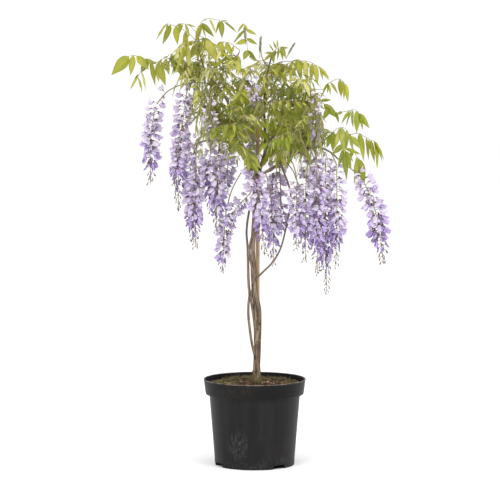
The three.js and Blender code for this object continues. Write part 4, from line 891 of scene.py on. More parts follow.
def leaf_finish(name, shades, fresh_and_shaded, light, vein):
    """A leaf blade: its shade goes by its tone, with pale slanting veins and midrib and an olive edge. Low in
    the crown patches of it are a deeper green, fresher leaves with painted shade. light is what shines
    through."""
    made = Finish(name)
    across, along, tone = made.grain(ACROSS, ALONG, TONE)
    place = made.place()
    side = abs(across)
    veins = ((along * 9 - side * 1.6) * 2 * math.pi).sine().between(0.72, 1) * side.between(0.06, 0.2)
    midrib = 1 - side.between(0.03, 0.11)
    mottle = made.noise(place, 120, 4)
    # low in the crown: a deeper green that is partly fresher leaves and partly painted shade
    inner = (1 - made.part(place, 2).between(0.96, 1.08)) * made.noise(place, 11, 2).between(0.42, 0.6)
    colour = made.ramp(tone, *shades)
    colour = made.blend(inner * 0.65, colour, fresh_and_shaded)
    colour = made.blend(mottle.between(0.35, 0.7) * 0.3, colour, paint(112, 118, 26))
    colour = made.blend(veins * 0.3, colour, vein)
    colour = made.blend(midrib * 0.45, colour, vein)
    colour = made.blend(side.between(0.66, 0.98) * 0.62, colour, paint(100, 100, 20))
    bumps = veins * -0.5 + midrib * -1 + mottle * 0.4
    values = {"Base Color": colour, "Roughness": 0.48, "Normal": made.bump(bumps, 0.5, 0.0006)}
    return made.thin(values, light, 0.38)


def petal_finish(name, shades, throat, light, share):
    """A petal: its shade goes by its tone, with a blotch at its throat, a fan of fine veins and uneven lilac.
    light is what shines through, by a share."""
    made = Finish(name)
    across, along, tone = made.grain(ACROSS, ALONG, TONE)
    side = abs(across)
    fan = ((across * 7 + along * 1.5) * 2 * math.pi).sine()
    veins = fan.between(0.5, 1) * (1 - side.between(0.7, 1))
    mottle = made.noise(made.place(), 260, 3)
    colour = made.ramp(tone, *shades)
    colour = made.blend((1 - along.between(0.12, 0.42)) * (1 - side.between(0.2, 0.75)), colour, throat)
    colour = made.blend(veins * 0.16, colour, shades[-1][1])
    colour = made.blend(mottle.between(0.45, 0.75) * 0.22, colour, shades[0][1])
    values = {"Base Color": colour, "Roughness": 0.55, "Sheen Weight": 0.15}
    values["Normal"] = made.bump(veins * 0.4 + mottle * 0.5, 0.35, 0.0004)
    return made.thin(values, light, share)


def cup_finish():
    """A flower's cup and its stalk: dull purple-brown over green."""
    made = Finish("flower_cup")
    along, tone = made.grain(ALONG, TONE)
    down = made.noise(made.place(), 700, 3)
    colour = made.ramp(along, (0, paint(138, 132, 90)), (0.5, paint(132, 112, 98)), (1, paint(124, 98, 110)))
    colour = made.blend(tone * 0.6, colour, paint(94, 76, 84))
    return made.solid({"Base Color": colour, "Roughness": 0.7, "Normal": made.bump(down, 0.3, 0.0004)})


PLASTIC, SOIL, CHIPS, MOSS = plastic_finish(), soil_finish(), chip_finish(), moss_finish()
BAMBOO, BARK, STALK, CUP = cane_finish(), bark_finish(), stalk_finish(), cup_finish()
LEAF = leaf_finish(
    "leaf_blade",
    [
        (0, paint(62, 78, 4)), (0.3, paint(134, 140, 26)), (0.65, paint(192, 186, 66)),
        (1, paint(230, 222, 152)),
    ],
    paint(112, 144, 8), paint(160, 168, 26), paint(200, 192, 138),
)
YOUNG_LEAF = leaf_finish(
    "young_leaf",
    [(0, paint(138, 142, 74)), (0.6, paint(188, 186, 122)), (1, paint(212, 206, 164))],
    paint(160, 164, 96), paint(184, 186, 106), paint(210, 206, 168),
)
SILKY_LEAF = leaf_finish(
    "silky_young_leaf",
    [(0, paint(128, 136, 104)), (0.6, paint(162, 168, 138)), (1, paint(184, 188, 164))],
    paint(130, 140, 100), paint(150, 160, 110), paint(176, 180, 156),
)
STANDARD = petal_finish(
    "standard_petal",
    [(0, paint(250, 246, 249)), (0.5, paint(239, 230, 244)), (1, paint(197, 175, 222))],
    paint(236, 234, 216), paint(206, 188, 226), 0.3,
)
KEEL = petal_finish(
    "keel_petal",
    [(0, paint(230, 218, 238)), (0.5, paint(202, 180, 225)), (1, paint(148, 122, 187))],
    paint(200, 184, 214), paint(164, 136, 202), 0.24,
)

# ---- pot, soil and cane ----------------------------------------------------------------------------


def softened(outline, size, longest=7):
    """An outline with each inner corner cut to a small round, and no run longer than longest."""
    p = np.array(outline, float)
    out = [p[0]]
    for before, corner, after in zip(p, p[1:], p[2:]):
        room = min(size, np.linalg.norm(corner - before) * 0.45, np.linalg.norm(after - corner) * 0.45)
        start, end = corner + unit(before - corner) * room, corner + unit(after - corner) * room
        out += [mix(mix(start, corner, t), mix(corner, end, t), t) for t in np.linspace(0, 1, 5)]
    out.append(p[-1])
    split = []
    for a, b in zip(out, out[1:]):
        many = max(1, math.ceil(np.linalg.norm(b - a) / longest))
        split += [mix(a, b, k / many) for k in range(many)]
    return np.array(split + [out[-1]])


def rings(radii):
    """The x and y of rings of points round the upright axis, the first point at the front."""
    angle = full_turn(POT_SIDES)
    return radii[:, None] * np.sin(angle), -radii[:, None] * np.cos(angle)


def ring_points(x, y, z, low, high):
    """The points of rings, and after them the middles of the first and the last ring at two heights."""
    return np.vstack([np.stack([x, y, z], -1).reshape(-1, 3), [[0, 0, low], [0, 0, high]]])


def make_pot():
    """The pot: a thin turned wall with a collar and a narrow lip, and drain slots cut into its foot."""
    hub, under = 2, 1.2  # the floor's middle: its radius, and its height off the ground
    outline = softened([
        [hub, under], [FOOT - 9, under], [FOOT - 7, 0], [FOOT, 0], [FOOT + 1.2, 13], [FOOT + 0.9, 14],
        [SHOULDER - 0.6, LEDGE - 3], [SHOULDER + 0.6, LEDGE], [COLLAR_FOOT, LEDGE],
        [COLLAR_FOOT + 0.7, LEDGE + 4], [RIM_RADIUS - 1, POT_HEIGHT - 4], [RIM_RADIUS, POT_HEIGHT - 2.4],
        [RIM_RADIUS, POT_HEIGHT], [RIM_RADIUS - LIP, POT_HEIGHT], [RIM_RADIUS - LIP - 0.8, POT_HEIGHT - 3],
        [COLLAR_FOOT - WALL, LEDGE + WALL], [SHOULDER - WALL, LEDGE - WALL],
        [FOOT - WALL, FLOOR], [hub, FLOOR],
    ], 0.9)
    x, y = rings(outline[:, 0])
    piece = Piece("nursery_pot")
    points = ring_points(x, y, outline[:, 1:] + 0 * x, under, FLOOR)
    piece.add(points, capped_faces(len(outline), POT_SIDES), 0, PLASTIC)
    pot = piece.made("pot", "pot")
    for heading in NOTCHES:
        cut_notch(pot, math.radians(heading))
    pot.data.set_sharp_from_angle(angle=math.radians(38))


def cut_notch(pot, turn):
    """Cuts one drain slot into the foot of the pot."""
    half, deep, slope = NOTCH_WIDTH / 2, NOTCH_DEPTH / 2, 2
    corners = [
        [x * (half + slope * (z < 0)), y * deep - FOOT, z * NOTCH_HEIGHT]
        for z in (-1, 1) for y in (-1, 1) for x in (-1, 1)
    ]
    spin = np.array([[math.cos(turn), -math.sin(turn), 0], [math.sin(turn), math.cos(turn), 0], [0, 0, 1]])
    block = bpy.data.meshes.new("slot_cutter")
    sides = [[0, 2, 3, 1], [4, 5, 7, 6], [0, 1, 5, 4], [1, 3, 7, 5], [3, 2, 6, 7], [2, 0, 4, 6]]
    block.from_pydata((np.array(corners) @ spin.T * MM).tolist(), [], sides)
    cutter = bpy.data.objects.new("slot_cutter", block)
    bpy.context.scene.collection.objects.link(cutter)
    cut = pot.modifiers.new("slot", "BOOLEAN")
    cut.operation, cut.solver, cut.object = "DIFFERENCE", "EXACT", cutter
    bpy.context.view_layer.update()
    carved = bpy.data.meshes.new_from_object(pot.evaluated_get(bpy.context.evaluated_depsgraph_get()))
    pot.modifiers.clear()
    pot.data = carved
    bpy.data.objects.remove(cutter)


def soil_height(x, y):
    """The soil's height: a low crown at the stem with the lumps of the solid and finer ones."""
    inside = COLLAR_FOOT - WALL - 0.6
    share = np.minimum(np.hypot(x, y) / inside, 1)
    wave = np.sin(x * 0.11 + 1.3) * np.cos(y * 0.13) + 0.6 * np.sin(x * 0.047 - y * 0.061 + 2)
    fine = np.sin(x * 0.37 + np.cos(y * 0.29) * 2) * np.sin(y * 0.41 + x * 0.17) * 1.1
    fine += np.sin(x * 0.83 + 1) * np.sin(y * 0.77 + 2 * np.sin(x * 0.3)) * 0.7
    edge = np.clip((1 - share) * 8, 0, 1)
    return POT_HEIGHT - SOIL_BELOW + SOIL_CROWN * (1 - share) ** 2 + (SOIL_LUMPS * wave + fine) * edge


def make_soil():
    """The soil: a lumpy top with a short side down inside the pot, and what lies and grows on it."""
    random = np.random.RandomState(SEED)
    inside, rows = COLLAR_FOOT - WALL + 0.4, 64
    x, y = rings(np.concatenate([np.linspace(2, inside, rows), [inside - 1]]))
    z = soil_height(x, y)
    z[-1] = LEDGE
    piece = Piece("potting_soil")
    faces = capped_faces(rows + 1, POT_SIDES)[:, ::-1]
    piece.add(ring_points(x, y, z, soil_height(0.0, 0.0), LEDGE), faces, 0, SOIL)
    add_chips(piece, random)
    add_moss(piece, random)
    add_straw(piece, random)
    piece.made("soil", "soil")


def scattered(random, count, centre=(0, 0), within=128, keep_off=11):
    """Up to count places on the soil round a centre, clear of the pot's wall and of the stem."""
    x = random.uniform(-within, within, count * 3) + centre[0]
    y = random.uniform(-within, within, count * 3) + centre[1]
    near = np.hypot(x - centre[0], y - centre[1]) < within
    fits = near & (np.hypot(x, y) < SOIL_REACH) & (np.hypot(x - STEM_X, y) > keep_off)
    return np.stack([x, y], -1)[fits][:count]


def on_soil(foot, sunk):
    """Points of the soil's surface over places on it, sunk into it a little."""
    return np.column_stack([foot, soil_height(foot[:, 0], foot[:, 1]) - sunk])


BUFF_CHIPS = [  # pale bits of bark: x, y, size and tone
    (24, -14, 12, 0.97), (34, -6, 16, 1), (44, -18, 13, 0.93), (32, 6, 11, 0.9), (62, 0, 12, 0.92),
    (74, -16, 13, 0.86), (-36, -12, 9, 0.9), (90, 10, 10, 0.8), (-62, -20, 9, 0.85), (52, 18, 9, 0.9),
    (20, -28, 10, 0.9), (-20, -22, 9, 0.8), (40, 34, 9, 0.95), (84, 44, 9, 0.9), (-14, 60, 8, 0.9),
]
CRUMBS = [  # the other bits in the soil: how many, least and greatest size, flatness, range of tones
    (900, 1.2, 3.2, 0.7, (0, 0.5)), (240, 3, 9, 0.3, (0.1, 0.95)), (16, 9, 17, 0.25, (0.3, 1)),
]
TUFTS = [  # cushions of moss: centre, size and how many tufts
    ((-78, -16), 30, 110), ((-98, 22), 20, 40), ((-40, 34), 20, 24), ((6, -4), 18, 40), ((30, 20), 18, 24),
    ((92, -14), 20, 20), ((-30, -84), 24, 20), ((0, 90), 40, 50), ((100, 50), 20, 20), ((-60, -70), 20, 20),
    ((-70, 74), 34, 60), ((60, 84), 30, 34),
]


def crumb():
    """The points and triangles of a rough ball: three rings of six points, each turned past the last."""
    sides, levels = 6, (-0.8, 0, 0.8)
    turns = [k * math.pi / 3 + z for z in levels for k in range(sides)]
    corners = np.round([[math.cos(turn), math.sin(turn)] for turn in turns], 3)
    points = unit(np.column_stack([corners, np.repeat(levels, sides)]))
    ends = [[0, k, k - 1] for k in (5, 4, 3, 2)] + [[12, k, k + 1] for k in (13, 14, 15, 16)]
    return points, np.concatenate([grid_faces(len(levels), sides, True), ends])


def add_chips(piece, random):
    """Crumbs and flat bits of bark lying at all angles on the soil."""
    ball, faces = crumb()
    chips = [(x, y, size, 0.55, tone) for x, y, size, tone in BUFF_CHIPS]
    for count, low, high, flat, tones in CRUMBS:
        for x, y in scattered(random, count):
            chips.append((x, y, random.uniform(low, high), flat, random.uniform(*tones)))
    for x, y, size, flat, tone in chips:
        sizes = size * np.array([1, random.uniform(0.35, 0.8), flat * random.uniform(0.5, 1)]) / 2
        lean = unit(np.array([random.normal(0, 0.35), random.normal(0, 0.35), 1]))
        turn = random.uniform(0, 2 * math.pi)
        side = unit(np.cross([math.cos(turn), math.sin(turn), 0], lean))
        rough = ball * random.uniform(0.75, 1.2, (len(ball), 1)) * sizes
        middle = np.array([x, y, soil_height(x, y) + sizes[2] * 0.6])
        points = middle + rough @ np.stack([side, np.cross(lean, side), lean])
        piece.add(points, faces, [0, 0, tone], CHIPS)


def add_moss(piece, random):
    """Cushions of moss, most of them at the left, at the back and round the stem, and loose sprigs."""
    blades = 14
    for centre, within, count in TUFTS:
        for x, y in scattered(random, count, centre, within, 10):
            size = random.uniform(2.2, 5.5)
            foot = np.stack([random.normal(middle, size * 0.45, blades) for middle in (x, y)], -1)
            add_blades(piece, random, on_soil(foot, 0.4), (foot - [x, y]) * 0.5, size, 0.45, MOSS)
    for x, y in np.vstack([scattered(random, 26), scattered(random, 46, (-30, 84), 56)]):
        base = np.column_stack([random.normal([x, y], 1, (4, 2)), np.full(4, soil_height(x, y) - 0.5)])
        add_blades(piece, random, base, random.normal(0, 3.5, (4, 2)), random.uniform(7, 14), 0.4, MOSS)


def add_straw(piece, random):
    """Dead grass and roots that stand in the soil towards the back."""
    for place in scattered(random, 330, (0, 150), 112):
        foot, lean = random.normal(place, 3, (5, 2)), random.normal(0, 5, (5, 2))
        height = random.uniform(5, 12)
        finish = CHIPS if random.uniform(0, 1) < 0.6 else MOSS
        add_blades(piece, random, on_soil(foot, 0.5), lean, height, 0.45, finish)


def add_blades(piece, random, base, lean, height, width, finish):
    """Thin three-sided blades, each leaning its own way."""
    count = len(base)
    aside = lean + random.normal(0, height * 0.16, (count, 2))
    tip = base + np.column_stack([aside, height * random.uniform(0.6, 1.1, count)])
    turn = random.uniform(0, 2 * math.pi, count)
    corners = [np.column_stack([np.cos(turn + k), np.sin(turn + k), 0 * turn]) for k in (0, 2.1, 4.2)]
    points = np.stack([base + corner * width for corner in corners] + [tip], 1)
    grain = np.zeros(points.shape)
    grain[:, 3, 1] = 1
    grain[..., 2] = random.uniform(0, 1, (count, 1))
    piece.add(points, np.array([[0, 1, 3], [1, 2, 3], [2, 0, 3], [0, 2, 1]]), grain, finish)


def make_cane():
    """A bamboo cane with raised joints, each with a groove above it."""
    steps = [np.add(CANE_JOINTS, step) for step in (-4, -2.4, -1, 0, 1, 2.2, 4)]
    heights = np.unique(np.concatenate([np.arange(CANE_FOOT, CANE_TOP, 9), [CANE_TOP]] + steps))
    near = np.min(np.abs(heights[:, None] - CANE_JOINTS), 1)
    groove = np.isin(heights, steps[-2])
    radii = CANE_RADIUS - 0.45 + 0.45 * np.exp(-((near / 2.2) ** 2)) - 0.5 * groove
    path = np.column_stack([np.full(len(heights), CANE_X), np.full(len(heights), CANE_Y), heights])
    piece = Piece("bamboo_cane")
    piece.tube(path, radii, 24, BAMBOO)
    piece.made("cane", "cane")


# ---- woody stems -----------------------------------------------------------------------------------

CREVICE_SHADE_REACH = 3.2  # how far from its neighbour the painted shade on the bark of a stem begins
THICK_STEMS = ("trunk", "leader")
KNOTS = [  # a swelling's middle, its radius and its length along the stem
    ([6, -6, 387], 1.6, 8), ([-8, 0, 478], 1.8, 9), ([15, 2, 342], 1, 8), ([-22, 4, 690], 1.4, 8),
    ([2, 1, 700], 1.6, 12), ([8, 0, 800], 2.4, 16), ([30, 12, 870], 1.8, 12), ([-44, -12, 868], 1.8, 12),
    ([66, -26, 828], 1.8, 12), ([-57, -18, 942], 1.6, 12), ([27, 24, 920], 1.6, 12),
]
SCARS = [  # dark scars in the bark: a place just in front of the stem and the scar's radius
    ([7, -11, 384], 2.7), ([-9, -11, 474], 2.8), ([-3, -12, 468], 2.4), ([-14, -10, 438], 2.2),
    ([-7, -9, 443], 2.2), ([-16, -10, 462], 2), ([12, -9, 333], 2), ([-1, -9, 300], 1.8),
    ([9, -10, 428], 2.2), ([1, -10, 560], 2.4),
]
TWIGS = [  # bare thin shoots: their points and radius
    ([[84, -24, 832], [104, -20, 806], [112, -16, 784], [122, -14, 764], [131, -14, 742]], 1.5),
    ([[48, -12, 800], [52, -16, 774], [66, -18, 774], [86, -18, 764]], 1.4),
    ([[72, -19, 706], [92, -20, 716], [110, -18, 735], [121, -16, 748]], 1.5),
    ([[8, -6, 338], [13, -8, 340], [15, -9, 344]], 2.4),
    ([[2, -8, 690], [14, -14, 712], [10, -14, 742], [-4, -10, 770]], 1.3),
]


def make_stems():
    """The trunk, the leader and the thinner stems with their knots, all ridged, and the bare twigs."""
    random = np.random.RandomState(SEED + 1)
    piece = Piece("woody_stem_bark")
    cane = np.arange(CANE_FOOT, CANE_TOP, 4)[:, None] * UP + [CANE_X, CANE_Y, 0]
    lines = [(cane, np.full(len(cane), CANE_RADIUS))]
    for name, listed in STEMS.items():
        step, sides, deep = (3.2, 30, 0.07) if name in THICK_STEMS else (4, 16, 0.05)
        line = smooth(listed, 8)
        run = lengths(line)[-1]
        line = spread_along(line, np.linspace(0, run, math.ceil(run / step) + 1))
        path, radii = line[:, :3], line[:, 3]
        for middle, more, reach in KNOTS:
            away = np.linalg.norm(path - middle, axis=1)
            radii = radii + more * np.exp(-((away / reach) ** 2)) * (radii > 4)
        ridges = bark_ridges(random, deep)
        bend = np.cumsum(random.normal(0, 0.05, (len(path), 3)), 0)
        path = path + (bend - np.linspace(bend[0], bend[-1], len(path))) * 0.5
        piece.tube(path, radii, sides, BARK, ridges)
        lines.append((path, radii))
    for points, radius in TWIGS:
        path = smooth(points, 8)
        piece.tube(path, np.linspace(radius, radius * 0.6, len(path)), 8, BARK)
    # painted shade where stems touch one another or the cane, together with the dark scars
    shades = [shelter(points, lines, number) for number, points in enumerate(piece.points, 1)]
    add_trunk_moss(piece, random)
    shades.append(np.zeros(piece.count - sum(map(len, shades))))
    piece.made("bark", "woody_stems", shelter=np.concatenate(shades))


def bark_ridges(random, deep):
    """A relief of long ridges with finer ones between them, which turn slowly round the stem."""
    coarse, fine = waves(random, 6, 2, 5), waves(random, 6, 7, 12)
    return lambda angle, run: coarse(angle, run * 0.05) * deep + fine(angle, run * 0.03) * deep * 0.4


def shelter(points, lines, own):
    """How dark the bark is at each point of a stem: 1 in a scar, and painted shade that rises to 1 where a
    stem or the cane touches it.
    """
    dark = np.zeros(len(points))
    for middle, radius in SCARS:
        dark = np.maximum(dark, np.exp(-((np.linalg.norm(points - middle, axis=1) / radius) ** 4)))
    for number, (path, radii) in enumerate(lines):
        if number != own:
            squares = (points**2).sum(1)[:, None] + (path**2).sum(1) - 2 * points @ path.T
            gap = (np.sqrt(np.maximum(squares, 0)) - radii).min(1)
            dark = np.maximum(dark, 1 - np.clip(gap / CREVICE_SHADE_REACH, 0, 1))
    return dark


def add_trunk_moss(piece, random):
    """Moss on the lowest part of the trunk, thinning out upwards."""
    count, lowest, reach = 900, 226, 34
    turn = random.uniform(0, 2 * math.pi, count)
    height = lowest + reach * random.uniform(0, 1, count) ** 1.7
    out = np.column_stack([np.cos(turn), np.sin(turn), 0 * turn])
    thick = np.interp(height, [222, 250, 300], [11.6, 10.8, 8.8])
    base = [5, 0, 0] + out * thick[:, None] + UP * height[:, None]
    add_blades(piece, random, base, out[:, :2] * 1.6, 2.2, 0.5, MOSS)


# ---- racemes ---------------------------------------------------------------------------------------

MOUTH_OUT, MOUTH_UP = 11.4, 0.4  # where a flower's petals leave its cup


def spread(share):
    """How far the flowers stand out at a share of the flowering length, as a share of their widest."""
    return np.interp(share, [0, 0.12, 0.5, 1], [0.72, 1, 1, 0.26])


def fullness(share):
    """How large the flowers are at a share of the flowering length, set against those near its top."""
    return np.interp(share, [0, 0.08, 0.4, 0.7, 0.85, 1], [0.86, 1, 1.06, 0.96, 0.7, 0.4])


def arc(along, start, end, size):
    """How far out and up a strip has come that leaves at one angle and bends to another, and its angle."""
    fine = np.linspace(0, 1, 41)
    angle = mix(start, end, np.minimum(fine * 1.5, 1) ** 0.8)
    out, up = (np.concatenate([[0], np.cumsum(way(angle[:-1]))]) / 40 * size for way in (np.cos, np.sin))
    return np.interp(along, fine, out), np.interp(along, fine, up), np.interp(along, fine, angle)


def petal(rows, columns, place):
    """A petal as points, faces and (across, along) marks; place takes along and across."""
    along, across = grid_marks(rows, columns)
    return np.stack(place(along, across), -1), grid_faces(rows, columns), np.stack([across, along], -1)


def rolled(along, path, ring, radii):
    """A tube with open ends, as points, faces and marks: a ring sized by radii and moved along a path."""
    sides = len(ring[-1])
    points = (path[:, None] + ring * radii[:, None, None]).reshape(-1, 3)
    marks = np.stack([np.tile(full_turn(sides) / math.pi - 1, len(along)), np.repeat(along, sides)], -1)
    return points, grid_faces(len(along), sides, True), marks


def round_strip(across, centre, half, wrap):
    """A strip's points across its middle line, rolled by the angle wrap at its edges."""
    out, up, angle = centre
    roll = across * wrap
    sink = half * (1 - np.cos(roll)) / wrap
    return half * np.sin(roll) / wrap, out + np.sin(angle) * sink, up - np.cos(angle) * sink


def flower_pattern(opened):
    """One flower with its parts, in its own frame: x across, y away from the raceme's stalk, z up."""
    tilt = math.radians(mix(-50, -38, opened))

    def standard(along, across):
        half = mix(5.2, 8.2, opened) * np.maximum(np.sin(math.pi * (0.06 + 0.86 * along) ** 0.8) ** 0.6, 0.1)
        notch = 1 - 0.08 * along * np.exp(-((across / 0.3) ** 2))
        centre = arc(along * notch, tilt + 0.35, tilt + mix(0.15, 1.9, opened), mix(15, 15.5, opened))
        ruffle = 0.4 * np.sin(across * 4 + along * 3) * along * opened
        x, y, z = round_strip(across, centre, half, mix(1.35, -0.5, opened))
        return x, y + MOUTH_OUT, z + MOUTH_UP + 0.9 + ruffle

    def wing(hand, along, across):
        half = 3.9 * np.maximum(np.sin(math.pi * (0.04 + 0.9 * along) ** 0.85) ** 0.7, 0.12)
        out, up, angle = arc(along, tilt, tilt + 0.12, 13.5)
        flare = 1.9 + np.sin(along * 2.6) * mix(0.6, 2.6, opened) + 0.5 * (across + 1) * opened
        lift = across * half
        y, z = out + MOUTH_OUT - np.sin(angle) * lift, up + MOUTH_UP + np.cos(angle) * lift - 0.4
        return hand * flare, y, z

    parts = [(STANDARD, 0.0, petal(8, 7, standard)), (KEEL, 0.12, keel_pattern(tilt))]
    parts += [(KEEL, -0.28, petal(5, 4, partial(wing, hand))) for hand in (1, -1)]
    return parts + [cup_pattern(MOUTH_OUT, MOUTH_UP, 2.5)]


def keel_pattern(tilt):
    """The boat of two joined petals that holds the flower's heart: slim, rolled up and curving upwards."""
    along, turn = np.linspace(0.02, 0.98, 6), full_turn(6)
    out, up, angle = arc(along, tilt - 0.15, tilt + 0.8, 13.5)
    path = np.stack([0 * out, MOUTH_OUT + out, MOUTH_UP + up - 0.8], -1)
    lean, rise = -np.sin(angle)[:, None] * np.sin(turn), np.cos(angle)[:, None] * np.sin(turn)
    ring = np.stack([np.cos(turn) * 0.75 + 0 * lean, lean, rise], -1)
    return rolled(along, path, ring, 2.7 * np.sin(math.pi * along**0.8) ** 0.7)


def cup_pattern(out, up, size):
    """A flower's stalk and cup as one tube, from the raceme's stalk so far out and up."""
    steps, turn = np.array([0, 0.7, 0.82, 0.93, 1.03]), full_turn(5)
    radii = np.array([0.55, 0.55, size * 0.55, size * 0.95, size * 1.08])
    path = np.stack([0 * steps, steps * out, steps * up + np.sin(steps * math.pi) * 1.6], -1)
    ring = np.stack([np.cos(turn), 0 * turn, np.sin(turn)], -1)
    return CUP, 0.0, rolled(steps, path, ring[None], radii)


def bud_pattern(length, stalk):
    """A closed flower: a slim curved bud in its cup on a thin stalk."""
    along, turn = np.linspace(0.02, 0.98, 7), full_turn(7)
    drop = -0.5 * along * length - 0.12 * length * np.sin(along * math.pi)
    path = np.stack([0 * along, stalk + along * length * 0.8, drop], -1)
    ring = np.stack([np.cos(turn) * 0.8, 0.5 * np.sin(turn), np.sin(turn)], -1)
    radii = length * 0.21 * np.sin(math.pi * along**0.85) ** 0.8
    body = (KEEL if length > 9 else CUP, 0.3, rolled(along, path, ring[None], radii))
    return [body, cup_pattern(stalk + 1, -0.4, length * 0.17)]


FLOWERS = [flower_pattern(opened) for opened in (0, 0.2, 0.4, 0.6, 0.8, 1)]
BUDS = [bud_pattern(length, stalk) for length, stalk in ((12, 13), (9.6, 12), (8, 9.5), (6.6, 7))]
PATTERNS = FLOWERS + BUDS


def flower_turn(outward, drop, roll):
    """A flower's own axes: out from the stalk, bent down by drop, and rolled a little."""
    y = unit(outward * math.cos(drop) - UP * math.sin(drop))
    z = unit(UP - y * UP.dot(y))
    x = np.cross(y, z)
    x, z = x * math.cos(roll) + z * math.sin(roll), z * math.cos(roll) - x * math.sin(roll)
    return np.stack([x, y, z])


def raceme_line(raceme, per_span):
    """A raceme's path, the length run at each of its points, and the run at which its flowers begin."""
    (stem, index), stalk, bloom, _ = raceme
    path = smooth([STEMS[stem][index][:3]] + stalk + bloom, per_span)
    run = lengths(path)
    return path, run, run[(len(stalk) + 1) * per_span]


def flower_spots(random, axis, run, bare, head, reach):
    """Where a raceme's flowers sit: for each kind a list of root, axes and tone."""
    across, beside = sideways(axis)
    whole, most = run[-1], len(FLOWERS) - 1
    spots = {}
    length, turn = bare - head, random.uniform(0, 2 * math.pi)
    while length < whole:
        share = max((length - bare) / (whole - bare), 0)
        at = np.searchsorted(run, length).clip(1, len(run) - 1)
        root = mix(axis[at - 1], axis[at], (length - run[at - 1]) / (run[at] - run[at - 1]))
        outward = across[at] * math.cos(turn) + beside[at] * math.sin(turn)
        drop = math.radians(np.interp(share, [0, 0.3, 0.7, 1], [-8, 8, 26, 36]) + random.normal(0, 14))
        axes = flower_turn(outward, drop, math.radians(random.normal(0, 24)))
        size = (0.32 + 0.84 * reach / FLOWER_REACH) * fullness(share) * random.uniform(0.84, 1.16)
        opened = np.interp(share, [0, 0.3, 0.6, 0.74], [0.65, 0.3, 0.1, 0]) + random.normal(0, 0.15)
        tone = np.interp(share, [0, 0.4, 0.72], [0.08, 0.42, 1]) + random.normal(0, 0.16)
        if share > BUDS_FROM + random.normal(0, 0.04):
            kind = len(FLOWERS) + int(np.interp(share, [BUDS_FROM, BUDS_SMALLEST], [0, 3.99]))
            size = reach / FLOWER_REACH * random.uniform(0.9, 1.15)
        else:
            kind = int(np.clip(round(opened * most), 0, most))
        spots.setdefault(kind, []).append((root, axes * size, tone))
        gap = np.interp(share, [0, 0.04, 0.3, 0.6, 0.74, 1], [8, 4.6, 2.5, 2.1, 3.2, 5.4])
        length += gap * random.uniform(0.55, 1.45)
        turn += math.radians(GOLDEN + random.normal(0, 22))
    return spots


def make_raceme(number, raceme):
    """A raceme: its stalk, which wavers a little among the flowers, and the flowers and buds on it."""
    random = np.random.RandomState(RACEME_SEED + number)
    path, run, bare = raceme_line(raceme, 12)
    piece = Piece(f"bloom_{number:02d}")
    shares = np.clip((run - bare) / (run[-1] - bare), 0, 1)
    waver = np.interp(run, np.linspace(0, run[-1], 9), random.normal(0, 0.5, 9)) * (shares > 0)
    axis = path + np.column_stack([waver, waver[::-1], 0 * waver])
    piece.tube(axis, np.interp(shares, [0, 0.05, 1], [1.5, 1.15, 0.7]), 7, STALK)
    spots = flower_spots(random, axis, run, bare, HEADS.get(number, HEAD), raceme[-1])
    for kind, listed in spots.items():
        roots, turns, tones = map(np.array, zip(*listed))
        for finish, deeper, (points, faces, marks) in PATTERNS[kind]:
            where = np.einsum("pa,nab->npb", points, turns) + roots[:, None]
            grain = np.empty(where.shape)
            grain[..., :2] = marks
            grain[..., 2] = np.clip(tones + deeper, 0, 1)[:, None]
            piece.add(where, faces, grain, finish)
    piece.made("flower", f"raceme_{number:02d}")


# ---- leaves ----------------------------------------------------------------------------------------


Leaf = namedtuple("Leaf", "rib length pairs hang")


class Rib:
    """The arching midrib of a leaf."""

    def __init__(self, base, tip, rise):
        self.base, self.tip = np.array(base, float), np.array(tip, float)
        self.crest = (self.base + self.tip) / 2 + UP * rise * 2
        self.length = lengths(self.point(np.linspace(0, 1, 201)))[-1]

    def point(self, u):
        u = np.asarray(u)[..., None]
        return (1 - u) ** 2 * self.base + 2 * u * (1 - u) * self.crest + u**2 * self.tip

    def station(self, u):
        """A point of the rib, its direction and the way to its right."""
        tangent = unit((1 - u) * (self.crest - self.base) + u * (self.tip - self.crest))
        side = np.cross(tangent, UP)
        if np.linalg.norm(side) < 0.25:
            side = np.array([tangent[2], -0.4, 0])
        return self.point(u), tangent, unit(side)


def leaflet_lie(station, hand, hang):
    """A leaflet's direction and the way across it; hand is 1 on the right, -1 on the left, 0 at the end."""
    _, tangent, side = station
    fall = hang * (1 - 0.6 * abs(tangent[2]))
    direction = tangent * (0.32 if hand else 0.75) + side * hand * (1 - fall * 0.55)
    direction = unit(direction - UP * fall * (1.05 if hand else 0.85))
    across = unit(tangent - direction * tangent.dot(direction)) if hand else side
    return direction, across


def solid_leaf_points(leaf):
    """Points spread over the solid leaf, for keeping leaves clear of their neighbours."""
    rib, step = leaf.rib, PAIR_ROOT / leaf.rib.length
    shares, roots = [0], []
    for share in np.arange(leaf.pairs) / (leaf.pairs - 1):
        u = mix(PETIOLE, LAST_PAIR, share)
        shares += [u - step, u + step]
        roots += [(u, hand, leaf.length * mix(0.84, 1, share), len(shares) - 2) for hand in (1, -1)]
    shares.append(1)
    roots.append((1, 0, leaf.length * 1.1, len(shares) - 1))
    stations = [rib.point(u) for u in shares]
    points = stations[1:] + [(a + b) / 2 for a, b in zip(stations, stations[1:])]
    for u, hand, size, root in roots:
        station = rib.station(u)
        direction, across = leaflet_lie(station, hand, leaf.hang)
        middle = station[0] + direction * size * WIDEST
        half = size * LEAFLET_WIDTH / 2
        tip = station[0] + direction * size - UP * size * CURL
        near, far = middle - across * half, middle + across * half
        points += [near, far, middle, tip, (middle + tip) / 2, (middle + stations[root]) / 2]
        points += [(near + tip) / 2, (far + tip) / 2]
    return np.array(points)


